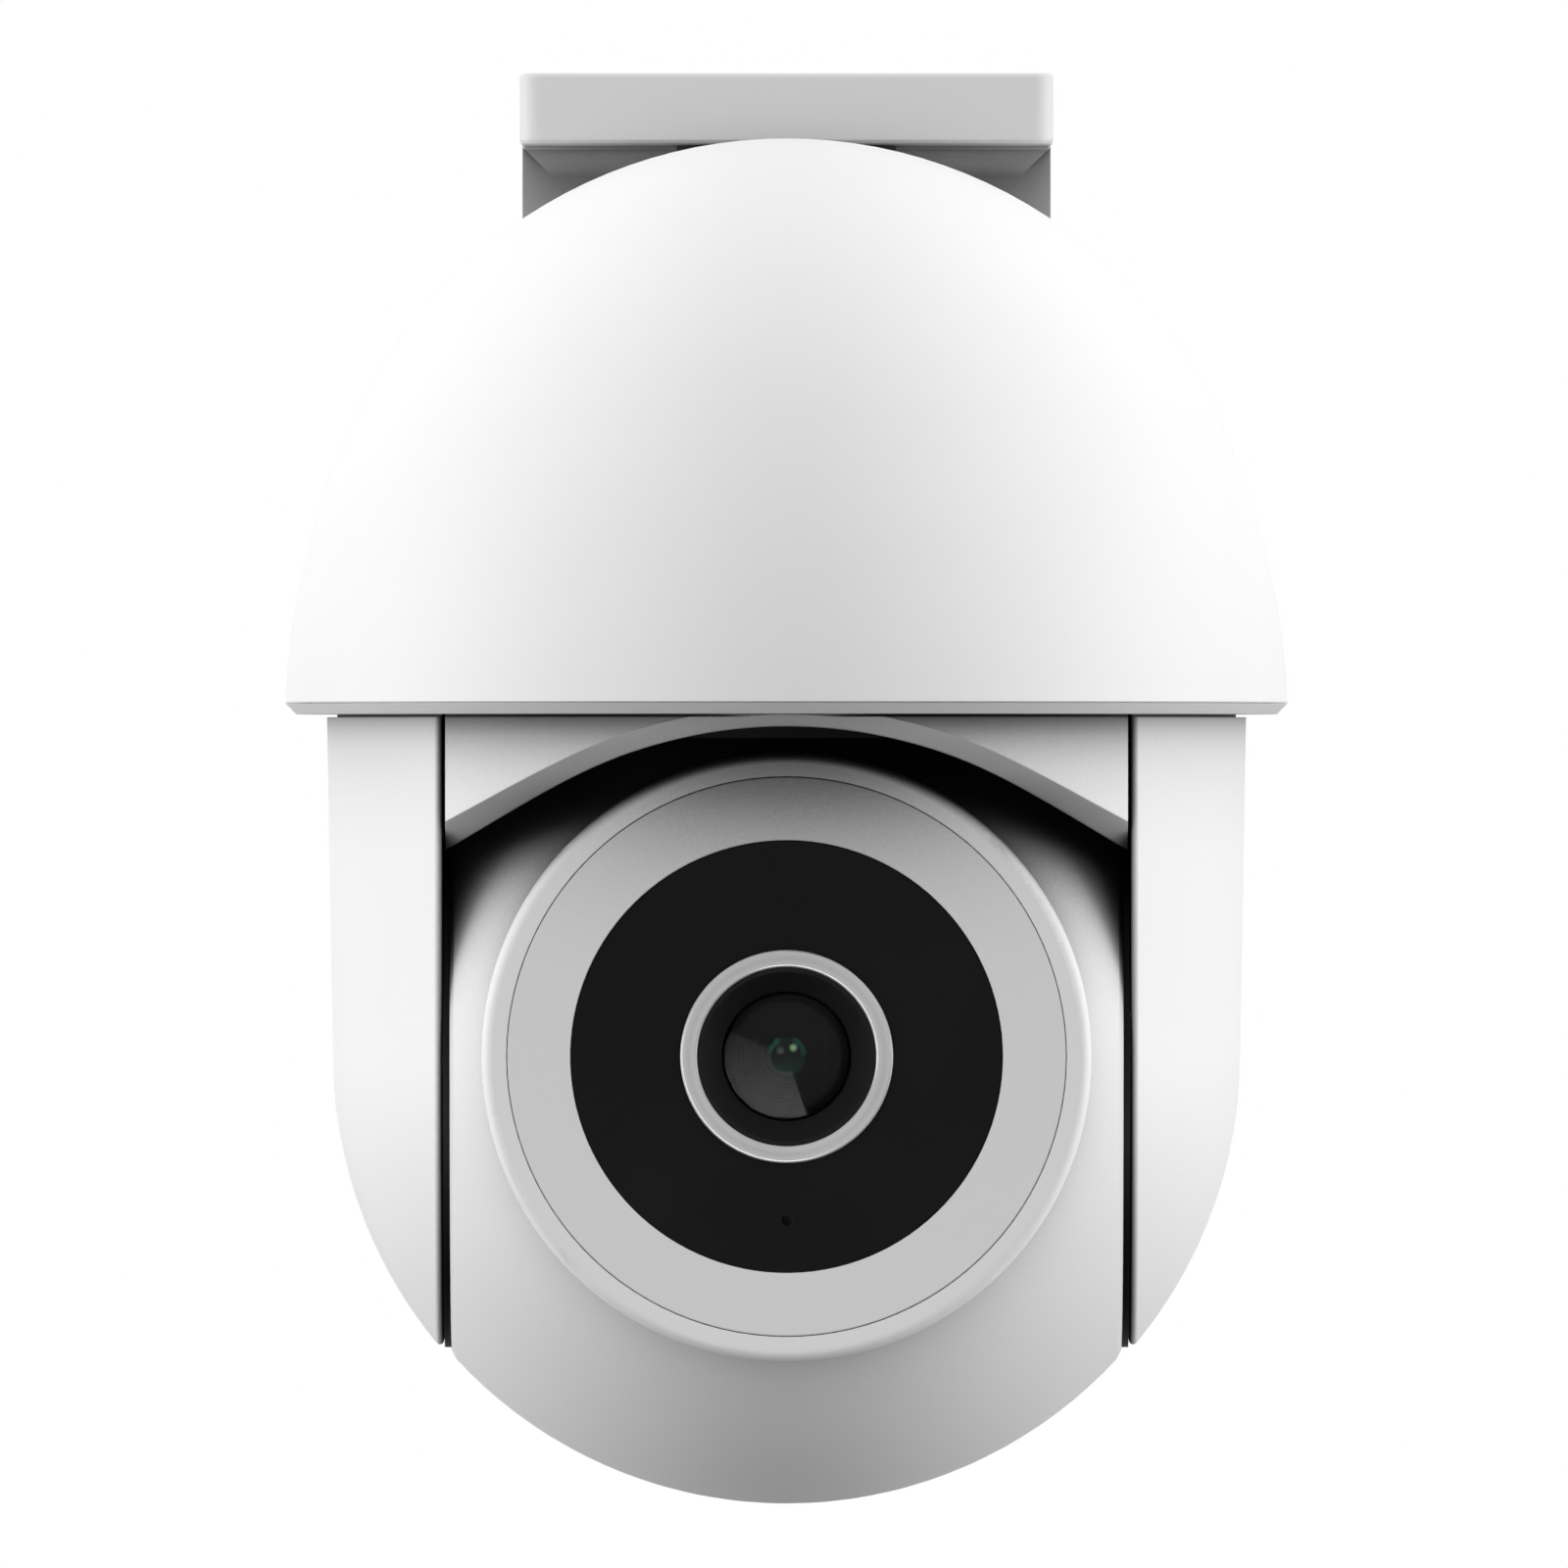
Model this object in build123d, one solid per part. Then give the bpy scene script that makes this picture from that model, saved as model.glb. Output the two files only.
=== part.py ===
from build123d import *
from math import acos, cos, pi, radians, sin, sqrt, tan
import os

# Wall-mounted pan and tilt security camera, in millimetres.
# It is drawn about the tilt centre: the tilt axis is X, the pan axis is Z and the lens looks along -Y.
# export() then moves every piece, so that the origin is the centre of the bracket's wall face, with +Y
# into the wall and +Z up.

# ---------------------------------------------------------------- camera head
ball_r = 52.9              # outside radius of the tilting ball
ball_wall = 2.2            # wall of its two shells
ball_flat_x = 39.4         # half the width between its flat sides
ball_flat_edge = 0.5       # chamfer round each flat side
shield_r = 34.5            # radius of the bushes' wide flanges, which close the side gaps
shield_play = 0.1          # gap between those flanges and the cheeks
ball_seam = 0.15           # open line between the front and rear shells
face_back = 7.3            # how far the face disc's front lies behind the ball's foremost point
face_disc_r = 35.6         # radius of the disc that stands out of the ball
face_rim_fillet = 1.3      # round on its rim
face_rim = 2.9             # width of the rim outside the seam of the inset face ring
face_seam = 0.1            # open line round the face ring
face_ring_t = 2.0          # thickness of the face ring
face_floor_t = 2.5         # thickness of the disc's floor under the ring
window_r = 25.15           # radius of the black front window
window_t = 1.5             # thickness of the window
window_gasket_t = 0.4      # thickness of its gasket
window_ledge = 5.0         # width of the ledge that the window sits on
mic_drop = 19.1            # how far the microphone hole is below the lens centre
mic_hole_r = 0.63          # radius of the microphone hole
mic_r = 2.0                # radius of the microphone capsule
lens_ring_r = 12.43        # outside radius of the silver ring round the lens
lens_ring_bore_r = 10.44   # inside radius of that ring
lens_ring_proud = 0.4      # how far the ring stands out of the window
lens_ring_depth = 2.4      # length of the ring along the lens axis
front_lens_r = 7.5         # radius of the front lens
front_lens_set_back = 3.0  # how far the front lens's edge lies behind the window's face
front_lens_bulge = 1.5     # height of its curved front
barrel_wall = 0.9          # wall of the lens barrel round the front lens
barrel_length = 20.0       # length of the lens barrel
pupil_r = 2.6              # radius of the small inner lens
filter_travel = 5.6        # travel of the infrared filter's slider
hatch_tilt = 50            # angle of the service hatch below the horizontal, at the ball's back
hatch_width = 24.0         # width of the hatch
hatch_height = 15.0        # height of the hatch
hatch_corner = 3.0         # round on its corners
hatch_t = 1.6              # thickness of the hatch
hatch_seal_t = 0.6         # thickness of its seal
hatch_play = 0.15          # open line round the hatch
hatch_bore_width = 18.0    # width of the opening under the hatch
hatch_bore_height = 9.0    # height of that opening
hatch_screw_x = 10.4       # half the spacing of the hatch's screws
reset_place = (4.0, 2.4)   # place of the reset button on the service board
card_drop = 2.2            # how far the card lies below the service board's middle
control_up = 4.0           # how far the control board stands above the ball's centre

# ---------------------------------------------------------------- yoke
side_gap = 0.9             # gap between the ball's flat sides and the cheeks
cheek_wall = 2.2           # wall of each cheek cover
cheek_edge = 0.5           # round on the cheek's inner edge
yoke_over_ball = 0.5       # how much larger the yoke's radius is than the ball's
yoke_draft = 0.7           # how much wider the yoke is at its top than at the tilt axis
panel_step = 0.2           # how far the front and rear panels lie inside the cheeks' surface
panel_wall = 2.7           # wall of the front and rear panels
panel_seam = 0.4           # open line between a panel and a cheek
brow_head_room = 1.55      # room above the face disc, under the yoke's flange
flange_t = 2.5             # thickness of the yoke frame's flange
arm_set_in = 0.3           # how far the frame's arms lie behind the cheeks' inner edges
arm_t = 2.5                # thickness of the frame's side arms
cup_gap = 1.1              # gap between the ball and the frame's cup
cup_wall = 2.0             # wall of the cup
brow_outer_r = 60.0        # radius of the brow's arch at its outer edge
brow_outer_top = 1.05      # how far the top of that arch would lie above the yoke's top
brow_inner_r = 56.0        # radius of the arch at its inner edge
brow_inner_top = 1.15      # how far the top of the inner arch lies below the yoke's top
brow_straight_x = 28.1     # the arch runs straight beyond this half width
rear_panel_drop = 18.0     # height of the rear panel

# ---------------------------------------------------------------- dome and its base
pan_gap = 0.35             # gap between the yoke's top and the dome's base
rain_lip_in = 1.0          # how far the lip on the yoke's top lies inside the panels' surface
rain_lip_t = 1.0           # thickness of that lip
rain_lip_h = 0.9           # its height
rain_play = 0.5            # room round it in the groove under the dome's base
brim_overhang = 4.9        # how far the brim stands out beyond the yoke
brim_chamfer = 1.3         # chamfer round the bottom of the brim
dome_seam = 0.06           # open line between the dome and its base
dome_wall = 2.2            # wall of the dome
crown_inset = 3.2          # how much smaller the crown's radius is than the brim's
crown_drop = 0.9           # how far the crown's centre lies below the top of the ball
crown_ends = 26            # angle above the crown's centre at which its arc meets the skirt
base_flange_t = 2.5        # thickness of the base's flange
base_lip_t = 2.0           # thickness of the lip inside the dome
base_lip_h = 3.0           # height of the lip above the flange
tower_gap = 1.8            # gap between the cup and the base's tower
tower_wall = 2.0           # wall of the tower
deck_t = 2.2               # thickness of the deck on the tower

# ---------------------------------------------------------------- pan drive
shaft_r = 7.0              # outside radius of the hollow pan shaft
shaft_bore_r = 4.5         # its bore, for the wires
shaft_flange_r = 11.0      # radius of its flange
shaft_flange_t = 1.6       # thickness of its flange
washer_t = 0.8             # thickness of the thrust washer
bush_wall = 1.9            # wall of the pan bush
housing_wall = 2.4         # wall of the bush's housing
pan_module = 0.8           # size of the pan gears' teeth
pan_gear_teeth = 56
pan_pinion_teeth = 12
pan_gear_t = 4.0           # width of the pan gear
motor_r = 12.0             # radius of the pan motor
motor_length = 16.0        # length of the pan motor
board_t = 1.6              # thickness of the circuit boards

# ---------------------------------------------------------------- tilt drive
trunnion_r = 5.0           # outside radius of the hollow trunnions
trunnion_bore_r = 3.2      # their bore, for the wires
trunnion_flange_r = 9.5    # radius of their flanges
trunnion_flange_t = 2.0    # thickness of their flanges
tilt_bush_wall = 1.5       # wall of the tilt bushes
tilt_module = 0.5          # size of the tilt gears' teeth
tilt_gear_teeth = 40
tilt_pinion_teeth = 12
tilt_gear_t = 4.0          # width of the tilt gear
tilt_gear_in = 3.2         # gap between the tilt gear and the ball's side wall
tilt_motor_r = 10.0        # radius of the tilt motor
tilt_motor_length = 15.0   # length of the tilt motor

# ---------------------------------------------------------------- bracket
arm_reach = 75.0           # distance from the wall to the pan axis
arm_width = 63.0           # width of the bracket
arm_depth = 8.3            # thickness of the arm
arm_below_apex = 0.4       # how far the arm's underside lies below the dome's top
arm_front_back = 12.0      # distance from the pan axis back to the arm's front face
arm_corner = 2.3           # round on the arm's upright front corners
plate_height = 72.0        # height of the wall plate
plate_t = 8.0              # thickness of the wall plate
plate_skin = 3.0           # skin left in front of the plate's hollow back
plate_corner = 3.0         # round on the plate's lower corners
wall_hole_dx = 44.0        # spacing of the wall screw holes along X
wall_hole_dz = 34.0        # spacing of the wall screw holes along Z
wall_hole_r = 2.25         # radius of the wall screw holes
wall_head_r = 4.6          # radius of their counterbores
neck_back = 32.0           # distance from the pan axis back to the neck's axis
neck_r = 14.0              # radius of the neck that joins the dome to the arm
neck_fillet = 1.0          # round where the neck meets the dome
neck_top_t = 6.0           # thickness of the neck's top
neck_gasket_t = 0.8        # thickness of the gasket on the neck
cable_r = 5.0              # radius of the cable's way through the neck
neck_screw_x = 9.5         # half the spacing of the two neck screws
grommet_r = 3.5            # outside radius of the cable grommet
grommet_bore_r = 2.4       # its bore

# ---------------------------------------------------------------- fits
run_fit = 0.05             # radial clearance of a shaft in its bush
snug = 0.05                # clearance round pieces that are fixed in place
gear_play = 0.14           # backlash of a pair of gears
pressure_angle = 25        # pressure angle of the gears
tooth_tip = 0.8            # height of a tooth above the pitch circle, in modules
tooth_root = 1.05          # depth of a tooth below the pitch circle, in modules

# ---------------------------------------------------------------- worked out from the sizes above
face_y = ball_r - face_back                      # forward distance of the face disc's front
face_ring_r = face_disc_r - face_rim             # radius of the seam round the face ring
face_floor = face_y - face_ring_t                # forward distance of the ledge under the ring
face_inside = face_floor - face_floor_t          # forward distance of the floor's inner side
window_hole_r = window_r - window_ledge          # hole in the floor behind the window
window_front = face_floor + window_gasket_t + window_t
flange_top = face_disc_r + brow_head_room + flange_t
flange_low = flange_top - flange_t
yoke_low_r = ball_r + yoke_over_ball
yoke_top_r = yoke_low_r + yoke_draft
panel_r = yoke_top_r - panel_step
cheek_x = ball_flat_x + side_gap
arm_x = cheek_x + arm_set_in
arm_out_x = arm_x + arm_t
cup_in_r = ball_r + cup_gap
cup_out_r = cup_in_r + cup_wall
base_z = flange_top + pan_gap
brim_z = base_z + brim_chamfer
seam_z = brim_z + dome_seam
brim_r = yoke_top_r + brim_overhang
crown_r = brim_r - crown_inset
crown_z = ball_r - crown_drop
apex_z = crown_z + crown_r
tower_in_r = sqrt(cup_out_r**2 - base_z**2) + tower_gap
tower_out_r = tower_in_r + tower_wall
lip_top = base_z + base_flange_t + base_lip_h
lip_r = brim_r - dome_wall - 0.9
boss_screw_z = lip_top + 2.0
shaft_flange_top = cup_out_r + shaft_flange_t
deck_low = shaft_flange_top + washer_t + 2 * run_fit
deck_top = deck_low + deck_t
pan_bush_r = shaft_r + run_fit + bush_wall
housing_r = pan_bush_r + housing_wall
motor_low = deck_top + 0.2
motor_top = motor_low + motor_length
pan_gear_low = motor_top + 2.5
pan_gear_top = pan_gear_low + pan_gear_t
pan_gear_r = pan_module * pan_gear_teeth / 2
pan_centres = pan_module * (pan_gear_teeth + pan_pinion_teeth) / 2
clip_z = pan_gear_top + 0.1
shaft_top = clip_z + 2.4
board_z = shaft_top + 2.6
tilt_gear_out_x = ball_flat_x - ball_wall - tilt_gear_in
tilt_gear_in_x = tilt_gear_out_x - tilt_gear_t
tilt_centres = tilt_module * (tilt_gear_teeth + tilt_pinion_teeth) / 2
tilt_bush_r = trunnion_r + run_fit + tilt_bush_wall
arm_low = apex_z - arm_below_apex
arm_top = arm_low + arm_depth
plate_low = arm_top - plate_height
wall_z = (arm_top + plate_low) / 2
neck_top = arm_low - neck_gasket_t

filter_rest_x = -filter_travel / 2

FAR = 99.0                 # a distance beyond every piece
ABOVE = (Align.CENTER, Align.CENTER, Align.MIN)
FORWARD = Plane(origin=(0, 0, 0), x_dir=(1, 0, 0), z_dir=(0, -1, 0)).location
BACKWARD = Plane(origin=(0, 0, 0), x_dir=(1, 0, 0), z_dir=(0, 1, 0)).location
SIDEWAYS = Plane(origin=(0, 0, 0), x_dir=(0, 1, 0), z_dir=(1, 0, 0)).location
HATCH_WAY = (0, cos(radians(hatch_tilt)), -sin(radians(hatch_tilt)))
SERVICE = Plane(origin=(0, 0, 0), x_dir=(1, 0, 0), z_dir=HATCH_WAY).location
CONTROL = Pos(0, 0, control_up) * BACKWARD
TO_WALL_FRAME = Pos(0, -arm_reach, -wall_z)


# ---------------------------------------------------------------- helpers
def post(radius, low, high, x=0, y=0):
    """Upright cylinder between two heights."""
    return Pos(x, y, low) * Cylinder(radius, high - low, align=ABOVE)


def tube(outer, inner, low, high, x=0, y=0):
    """Upright tube between two heights."""
    return post(outer, low, high, x, y) - post(inner, low - 1, high + 1, x, y)


def block(x_size, y_size, low, high, x=0, y=0):
    """Upright block between two heights."""
    return Pos(x, y, low) * Box(x_size, y_size, high - low, align=ABOVE)


def span(x_low, x_high, y_low, y_high, z_low, z_high):
    """Block between two corners."""
    size = (x_high - x_low, y_high - y_low, z_high - z_low)
    return Pos(x_low, y_low, z_low) * Box(*size, align=(Align.MIN, Align.MIN, Align.MIN))


def at_angle(radius, angle):
    """Point at a distance from the pan axis, at an angle from +X."""
    return radius * cos(radians(angle)), radius * sin(radians(angle))


def screw(shank_r, head_r, head_t, length):
    """Screw along Z: its head stands on z = 0 and its shank hangs below."""
    socket = post(head_r * 0.4, head_t * 0.45, head_t + 1)
    return post(head_r, 0, head_t) + post(shank_r, -length, 0.1) - socket


def both_sides(shape):
    """The shape and its mirror image across X."""
    return [shape, mirror(shape, about=Plane.YZ)]


def export(node, shapes):
    """Write one node, moved to the wall's frame."""
    solids = [solid for shape in shapes for solid in (TO_WALL_FRAME * shape).solids()]
    whole = solids[0] if len(solids) == 1 else Compound(children=solids)
    export_step(whole, f"parts/{node}.step")


# ---------------------------------------------------------------- gears
def involute(angle):
    return tan(angle) - angle


def gear_outline(module, teeth, turn):
    """Closed outline of a spur gear with one tooth's centre at the angle `turn`."""
    pitch_r = module * teeth / 2
    base_r = pitch_r * cos(radians(pressure_angle))
    root_r = pitch_r - tooth_root * module
    tip_r = pitch_r + tooth_tip * module
    half_tooth = pi / (2 * teeth) - gear_play / (4 * pitch_r)
    start_r = max(base_r, root_r)
    steps = 4
    flank = []
    for step in range(steps + 1):
        r = start_r + (tip_r - start_r) * step / steps
        half = half_tooth + involute(radians(pressure_angle)) - involute(acos(min(1, base_r / r)))
        flank.append((r, half))
    if root_r < base_r:
        flank.insert(0, (root_r, flank[0][1]))
    points = []
    for tooth in range(teeth):
        middle = radians(turn) + 2 * pi * tooth / teeth
        points += [(r * cos(middle - half), r * sin(middle - half)) for r, half in flank]
        points += [(r * cos(middle + half), r * sin(middle + half)) for r, half in reversed(flank)]
    return make_face(Polyline(*points, close=True))


def gear(module, teeth, turn, low, high):
    """Solid spur gear between two heights."""
    return Pos(0, 0, low) * extrude(gear_outline(module, teeth, turn), high - low)


# ---------------------------------------------------------------- forms that several pieces share
def ball_form(inset):
    """The ball with its two flat sides, drawn inwards by `inset`."""
    width = 2 * (ball_flat_x - inset)
    return Sphere(ball_r - inset) & Box(width, 3 * ball_r, 3 * ball_r)


def yoke_form(inset):
    """The yoke's outer form: a slightly tapered drum that ends below in a half ball."""
    low_r = yoke_low_r - inset
    with BuildSketch(Plane.XZ) as profile:
        with BuildLine():
            CenterArc((0, 0), low_r, -90, 90)
            Line((low_r, 0), (yoke_top_r - inset, flange_top))
            Line((yoke_top_r - inset, flange_top), (0, flange_top))
            Line((0, flange_top), (0, -low_r))
        make_face()
    return revolve(profile.sketch, Axis.Z)


def dome_form(inset):
    """The dome's form, drawn inwards by `inset`: a round crown that runs smoothly into a steep skirt."""
    angle = radians(crown_ends)
    r = crown_r - inset
    joint = (r * cos(angle), crown_z + r * sin(angle))
    rim = (brim_r - inset, seam_z)
    foot = (brim_r - inset, base_z)
    with BuildSketch(Plane.XZ) as profile:
        with BuildLine():
            CenterArc((0, crown_z), r, crown_ends, 90 - crown_ends)
            TangentArc(joint, rim, tangent=(sin(angle), -cos(angle)))
            Polyline(rim, foot, (0, base_z), (0, crown_z + r))
        make_face()
    return revolve(profile.sketch, Axis.Z)


def dome_inner_r(z):
    """Inside radius of the crown at a height."""
    return sqrt((crown_r - dome_wall)**2 - (z - crown_z)**2)


# ---------------------------------------------------------------- places that several pieces share
dome_screw_angles = (20, 90, 160)
board_posts = [at_angle(dome_inner_r(board_z) - 7.0, a) for a in (50, 130, 230, 310)]
motor_ears = [(pan_centres, motor_r + 3.5), (pan_centres, -motor_r - 3.5)]
ball_screw_places = [(x, z) for x in (-27, 27) for z in (-33, 33)]
led_places = [at_angle(window_hole_r - 4.0, 60 * n) for n in range(6)]
led_board_posts = [at_angle(window_r - 1.6, a) for a in (0, 120, 240)]
control_board_places = [(x, y) for x in (-19, 19) for y in (-11, 11)]
cover_screw_angle = 12      # cheek screws, either side of the X axis
cover_screw_r = panel_r - panel_wall - 2.9
panel_screw_x = 32.0        # panel screws, either side of the Y axis
panel_screw_y = sqrt(cover_screw_r**2 - panel_screw_x**2)
tilt_motor_y = tilt_centres
tilt_ear_z = tilt_motor_r + 3.5
tilt_motor_out_x = tilt_gear_in_x - 1.5


# ---------------------------------------------------------------- bracket
def make_bracket():
    """L-shaped moulding: a wall plate with a hollow, ribbed back, and the arm that the camera hangs from."""
    half = arm_width / 2
    arm = span(-half, half, arm_front_back, arm_reach, arm_low, arm_top)
    corners = arm.edges().filter_by(Axis.Z).group_by(Axis.Y)[0]
    arm = fillet(corners, arm_corner)
    arm = fillet(arm.faces().sort_by(Axis.Z)[-1].edges().group_by(Axis.Y)[0], 0.6)
    arm = chamfer(arm.faces().sort_by(Axis.Z)[0].edges().group_by(Axis.Y)[0], 0.4)
    plate = span(-half, half, arm_reach - plate_t, arm_reach, plate_low, arm_top)
    plate = fillet(plate.edges().filter_by(Axis.Y).group_by(Axis.Z)[0], plate_corner)
    body = arm + plate
    inner = body.edges().filter_by(Axis.X).filter_by_position(Axis.Y, arm_reach - plate_t - 0.1,
                                                              arm_reach - plate_t + 0.1)
    inner = inner.filter_by_position(Axis.Z, arm_low - 0.1, arm_low + 0.1)
    body = fillet(inner, 3.0)
    return body - plate_hollow() - wall_holes() - cable_way() - neck_screw_holes()


def plate_hollow():
    """Pocket in the plate's back, without the ribs, the screw bosses and the boss at its centre."""
    half = arm_width / 2
    rim = 3.0
    back = arm_reach
    pocket = span(-half + rim, half - rim, back - plate_t + plate_skin, back + 1, plate_low + rim, arm_low)
    rib = 2.4
    pocket -= span(-rib / 2, rib / 2, 0, 2 * back, plate_low, arm_low)
    pocket -= span(-half, half, 0, 2 * back, wall_z - rib / 2, wall_z + rib / 2)
    pocket -= Pos(0, 0, wall_z) * (BACKWARD * post(7.0, 0, 2 * back))
    for x, z in wall_hole_places():
        pocket -= Pos(x, 0, z) * (BACKWARD * post(wall_head_r + 1.4, 0, 2 * back))
    return pocket


def wall_hole_places():
    xs = (-wall_hole_dx / 2, wall_hole_dx / 2)
    zs = (wall_z - wall_hole_dz / 2, wall_z + wall_hole_dz / 2)
    return [(x, z) for x in xs for z in zs]


def wall_holes():
    """Four counterbored screw holes through the plate."""
    front = arm_reach - plate_t
    hole = post(wall_hole_r, front - 1, arm_reach + 1) + post(wall_head_r, front - 20, front + 2.6)
    return [Pos(x, 0, z) * (BACKWARD * hole) for x, z in wall_hole_places()]


def cable_way():
    """Channel under the arm, from the neck to the grommet's hole in the plate."""
    channel_top = arm_low + 5.2
    channel = span(-cable_r, cable_r, neck_back - cable_r, arm_reach - plate_t + 1.0, arm_low - 1, channel_top)
    rebate = span(*channel_cover_x(), *channel_cover_y(), arm_low - 1, arm_low + 1.2)
    hole = Pos(0, 0, grommet_z()) * (BACKWARD * post(grommet_r, arm_reach - plate_t, arm_reach + 1))
    return [channel, rebate, hole]


def grommet_z():
    return arm_low + grommet_r + 0.2


def channel_cover_x():
    return -cable_r - 2.0, cable_r + 2.0


def channel_cover_y():
    return neck_back + neck_r + 1.0, arm_reach - plate_t - 3.2


def make_channel_cover():
    """Flush cover that closes the cable channel behind the neck."""
    x_low, x_high = channel_cover_x()
    y_low, y_high = channel_cover_y()
    return span(x_low + snug, x_high - snug, y_low + snug, y_high - snug, arm_low, arm_low + 1.2)


def make_cable_grommet():
    """Rubber grommet that ends flush with the wall face."""
    ring = tube(grommet_r, grommet_bore_r, arm_reach - plate_t + 1.0, arm_reach)
    return Pos(0, 0, grommet_z()) * (BACKWARD * ring)


def neck_screw_holes():
    """Two counterbored holes from the arm's top down to the neck."""
    hole = post(2.1, arm_low - 1, arm_top) + post(4.0, arm_top - 4.2, arm_top + 1)
    return [Pos(x, neck_back, 0) * hole for x in (-neck_screw_x, neck_screw_x)]


def make_neck_gasket():
    ring = tube(neck_r - 1.0, cable_r, neck_top, arm_low)
    for x in (-neck_screw_x, neck_screw_x):
        ring -= post(2.1, neck_top - 1, arm_low + 1, x)
    return Pos(0, neck_back, 0) * ring


def make_neck_screws():
    length = arm_top - 4.2 - neck_top + neck_top_t - 1.0
    one = Pos(0, neck_back, arm_top - 4.2) * screw(2.0, 3.7, 3.2, length)
    return [Pos(x, 0, 0) * one for x in (-neck_screw_x, neck_screw_x)]


# ---------------------------------------------------------------- dome
def make_dome_shell():
    """Dome with a steep skirt, and the neck behind its top that hangs from the arm."""
    neck = post(neck_r, crown_z + 10, neck_top, 0, neck_back)
    outer = dome_form(0) + neck
    joint = outer.edges().filter_by_position(Axis.Y, neck_back - 3, neck_back + 3)
    joint = joint.filter_by(lambda e: e.geom_type != GeomType.CIRCLE)
    joint = joint.filter_by(lambda e: e.center().Z > crown_z + crown_r / 3)
    outer = fillet(joint, neck_fillet)
    shell = outer - dome_form(dome_wall) - post(brim_r + 5, base_z - 5, seam_z)
    core = post(neck_r - 2.6, crown_z, neck_top - neck_top_t, 0, neck_back)
    shell -= core & dome_form(-neck_r)
    shell -= post(cable_r, crown_z, neck_top + 1, 0, neck_back)
    for x in (-neck_screw_x, neck_screw_x):
        shell -= post(2.0, neck_top - neck_top_t + 0.8, neck_top + 1, x, neck_back)
    return shell - [radial_hole(angle) for angle in dome_screw_angles]


def dome_skirt_r(z):
    """Outside radius of the dome's skirt, the arc that runs on from the crown to the rim, at a height."""
    out, up = cos(radians(crown_ends)), sin(radians(crown_ends))
    x, y = brim_r, seam_z - crown_z
    along = x * out + y * up
    arc_r = (x**2 + y**2 - 2 * crown_r * along + crown_r**2) / (2 * (crown_r - along))
    centre_x, centre_z = (crown_r - arc_r) * out, crown_z + (crown_r - arc_r) * up
    return centre_x + sqrt(arc_r**2 - (z - centre_z)**2)


def radial(angle, shape):
    """Turn a shape that lies along +X at the dome screws' height to an angle round the pan axis."""
    return Rot(0, 0, angle) * (Pos(0, 0, boss_screw_z) * (SIDEWAYS * shape))


def radial_hole(angle):
    seat = screw_seat_r()
    return radial(angle, post(1.25, seat - 8, seat + 9) + post(2.5, seat, seat + 9))


def screw_seat_r():
    """Distance from the pan axis to the seats of the dome screws' heads."""
    return dome_skirt_r(boss_screw_z) - 1.35


def make_dome_screws():
    one = Pos(0, 0, screw_seat_r()) * screw(1.2, 2.3, 1.1, 5.6)
    return [radial(angle, one) for angle in dome_screw_angles]


def make_dome_base():
    """Top-hat moulding: the chamfered rim and flange, a tower round the cup, and a deck for the pan drive."""
    flange_up = base_z + base_flange_t
    outline = [
        (tower_in_r, base_z), (brim_r - brim_chamfer, base_z), (brim_r, brim_z), (lip_r, brim_z),
        (lip_r, lip_top), (lip_r - base_lip_t, lip_top), (lip_r - base_lip_t, flange_up),
        (tower_out_r, flange_up), (tower_out_r, deck_top), (housing_r, deck_top),
        (housing_r, motor_top), (pan_bush_r, motor_top), (pan_bush_r, deck_low), (tower_in_r, deck_low),
    ]
    base = revolve(Plane.XZ * make_face(Polyline(*outline, close=True)), Axis.Z)
    for angle in dome_screw_angles:
        boss = span(lip_r - 6.0, lip_r - 0.5, -4, 4, base_z + 0.5, boss_screw_z + 3)
        base += Rot(0, 0, angle) * boss
    for x, y in board_posts:
        base += post(3.0, deck_low + 0.5, board_z, x, y)
    for x, y in motor_ears:
        base += post(3.0, deck_low + 0.5, motor_top - 1.5, x, y)
    for x, y in board_posts:
        base -= post(1.25, board_z - 6, board_z + 1, x, y)
    for x, y in motor_ears:
        base -= post(1.25, motor_top - 8, motor_top, x, y)
    base -= tube(lip_r + 1, lip_r - 0.9, seal_low(), seal_low() + 1.4)
    base -= rain_lip(rain_play)
    return base - [radial(angle, post(1.2, lip_r - 5, lip_r + 2)) for angle in dome_screw_angles]


def seal_low():
    return brim_z + 0.9


def make_dome_seal():
    """Rubber ring in the groove of the base's lip."""
    return tube(lip_r + 0.25, lip_r - 0.9, seal_low(), seal_low() + 1.4)


# ---------------------------------------------------------------- pan drive
def make_pan_bush():
    sleeve = tube(pan_bush_r, shaft_r + run_fit, deck_low, motor_top)
    return sleeve + tube(housing_r, shaft_r + run_fit, motor_top, motor_top + 1.2)


def make_thrust_washer():
    low = shaft_flange_top + run_fit
    return tube(shaft_flange_r - 0.3, shaft_r + 0.3, low, low + washer_t)


def make_pan_shaft():
    """Hollow shaft with the flange that holds the yoke, and a groove for its clip."""
    shaft = post(shaft_flange_r, cup_out_r, shaft_flange_top) + post(shaft_r, cup_out_r, shaft_top)
    shaft = chamfer(shaft.edges().sort_by(Axis.Z)[-1], 0.5)
    shaft -= tube(shaft_r + 1, shaft_r - 0.8, clip_z, clip_z + 1.0)
    shaft -= post(shaft_bore_r, cup_out_r - 1, shaft_top + 1)
    for x, y in shaft_screw_places():
        shaft -= post(0.9, cup_out_r - 1, shaft_flange_top + 1, x, y)
        shaft -= post(1.5, shaft_flange_top - 0.9, shaft_flange_top + 1, x, y)
    return shaft


def shaft_screw_places():
    return [at_angle(9.0, 45 + 90 * n) for n in range(4)]


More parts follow.
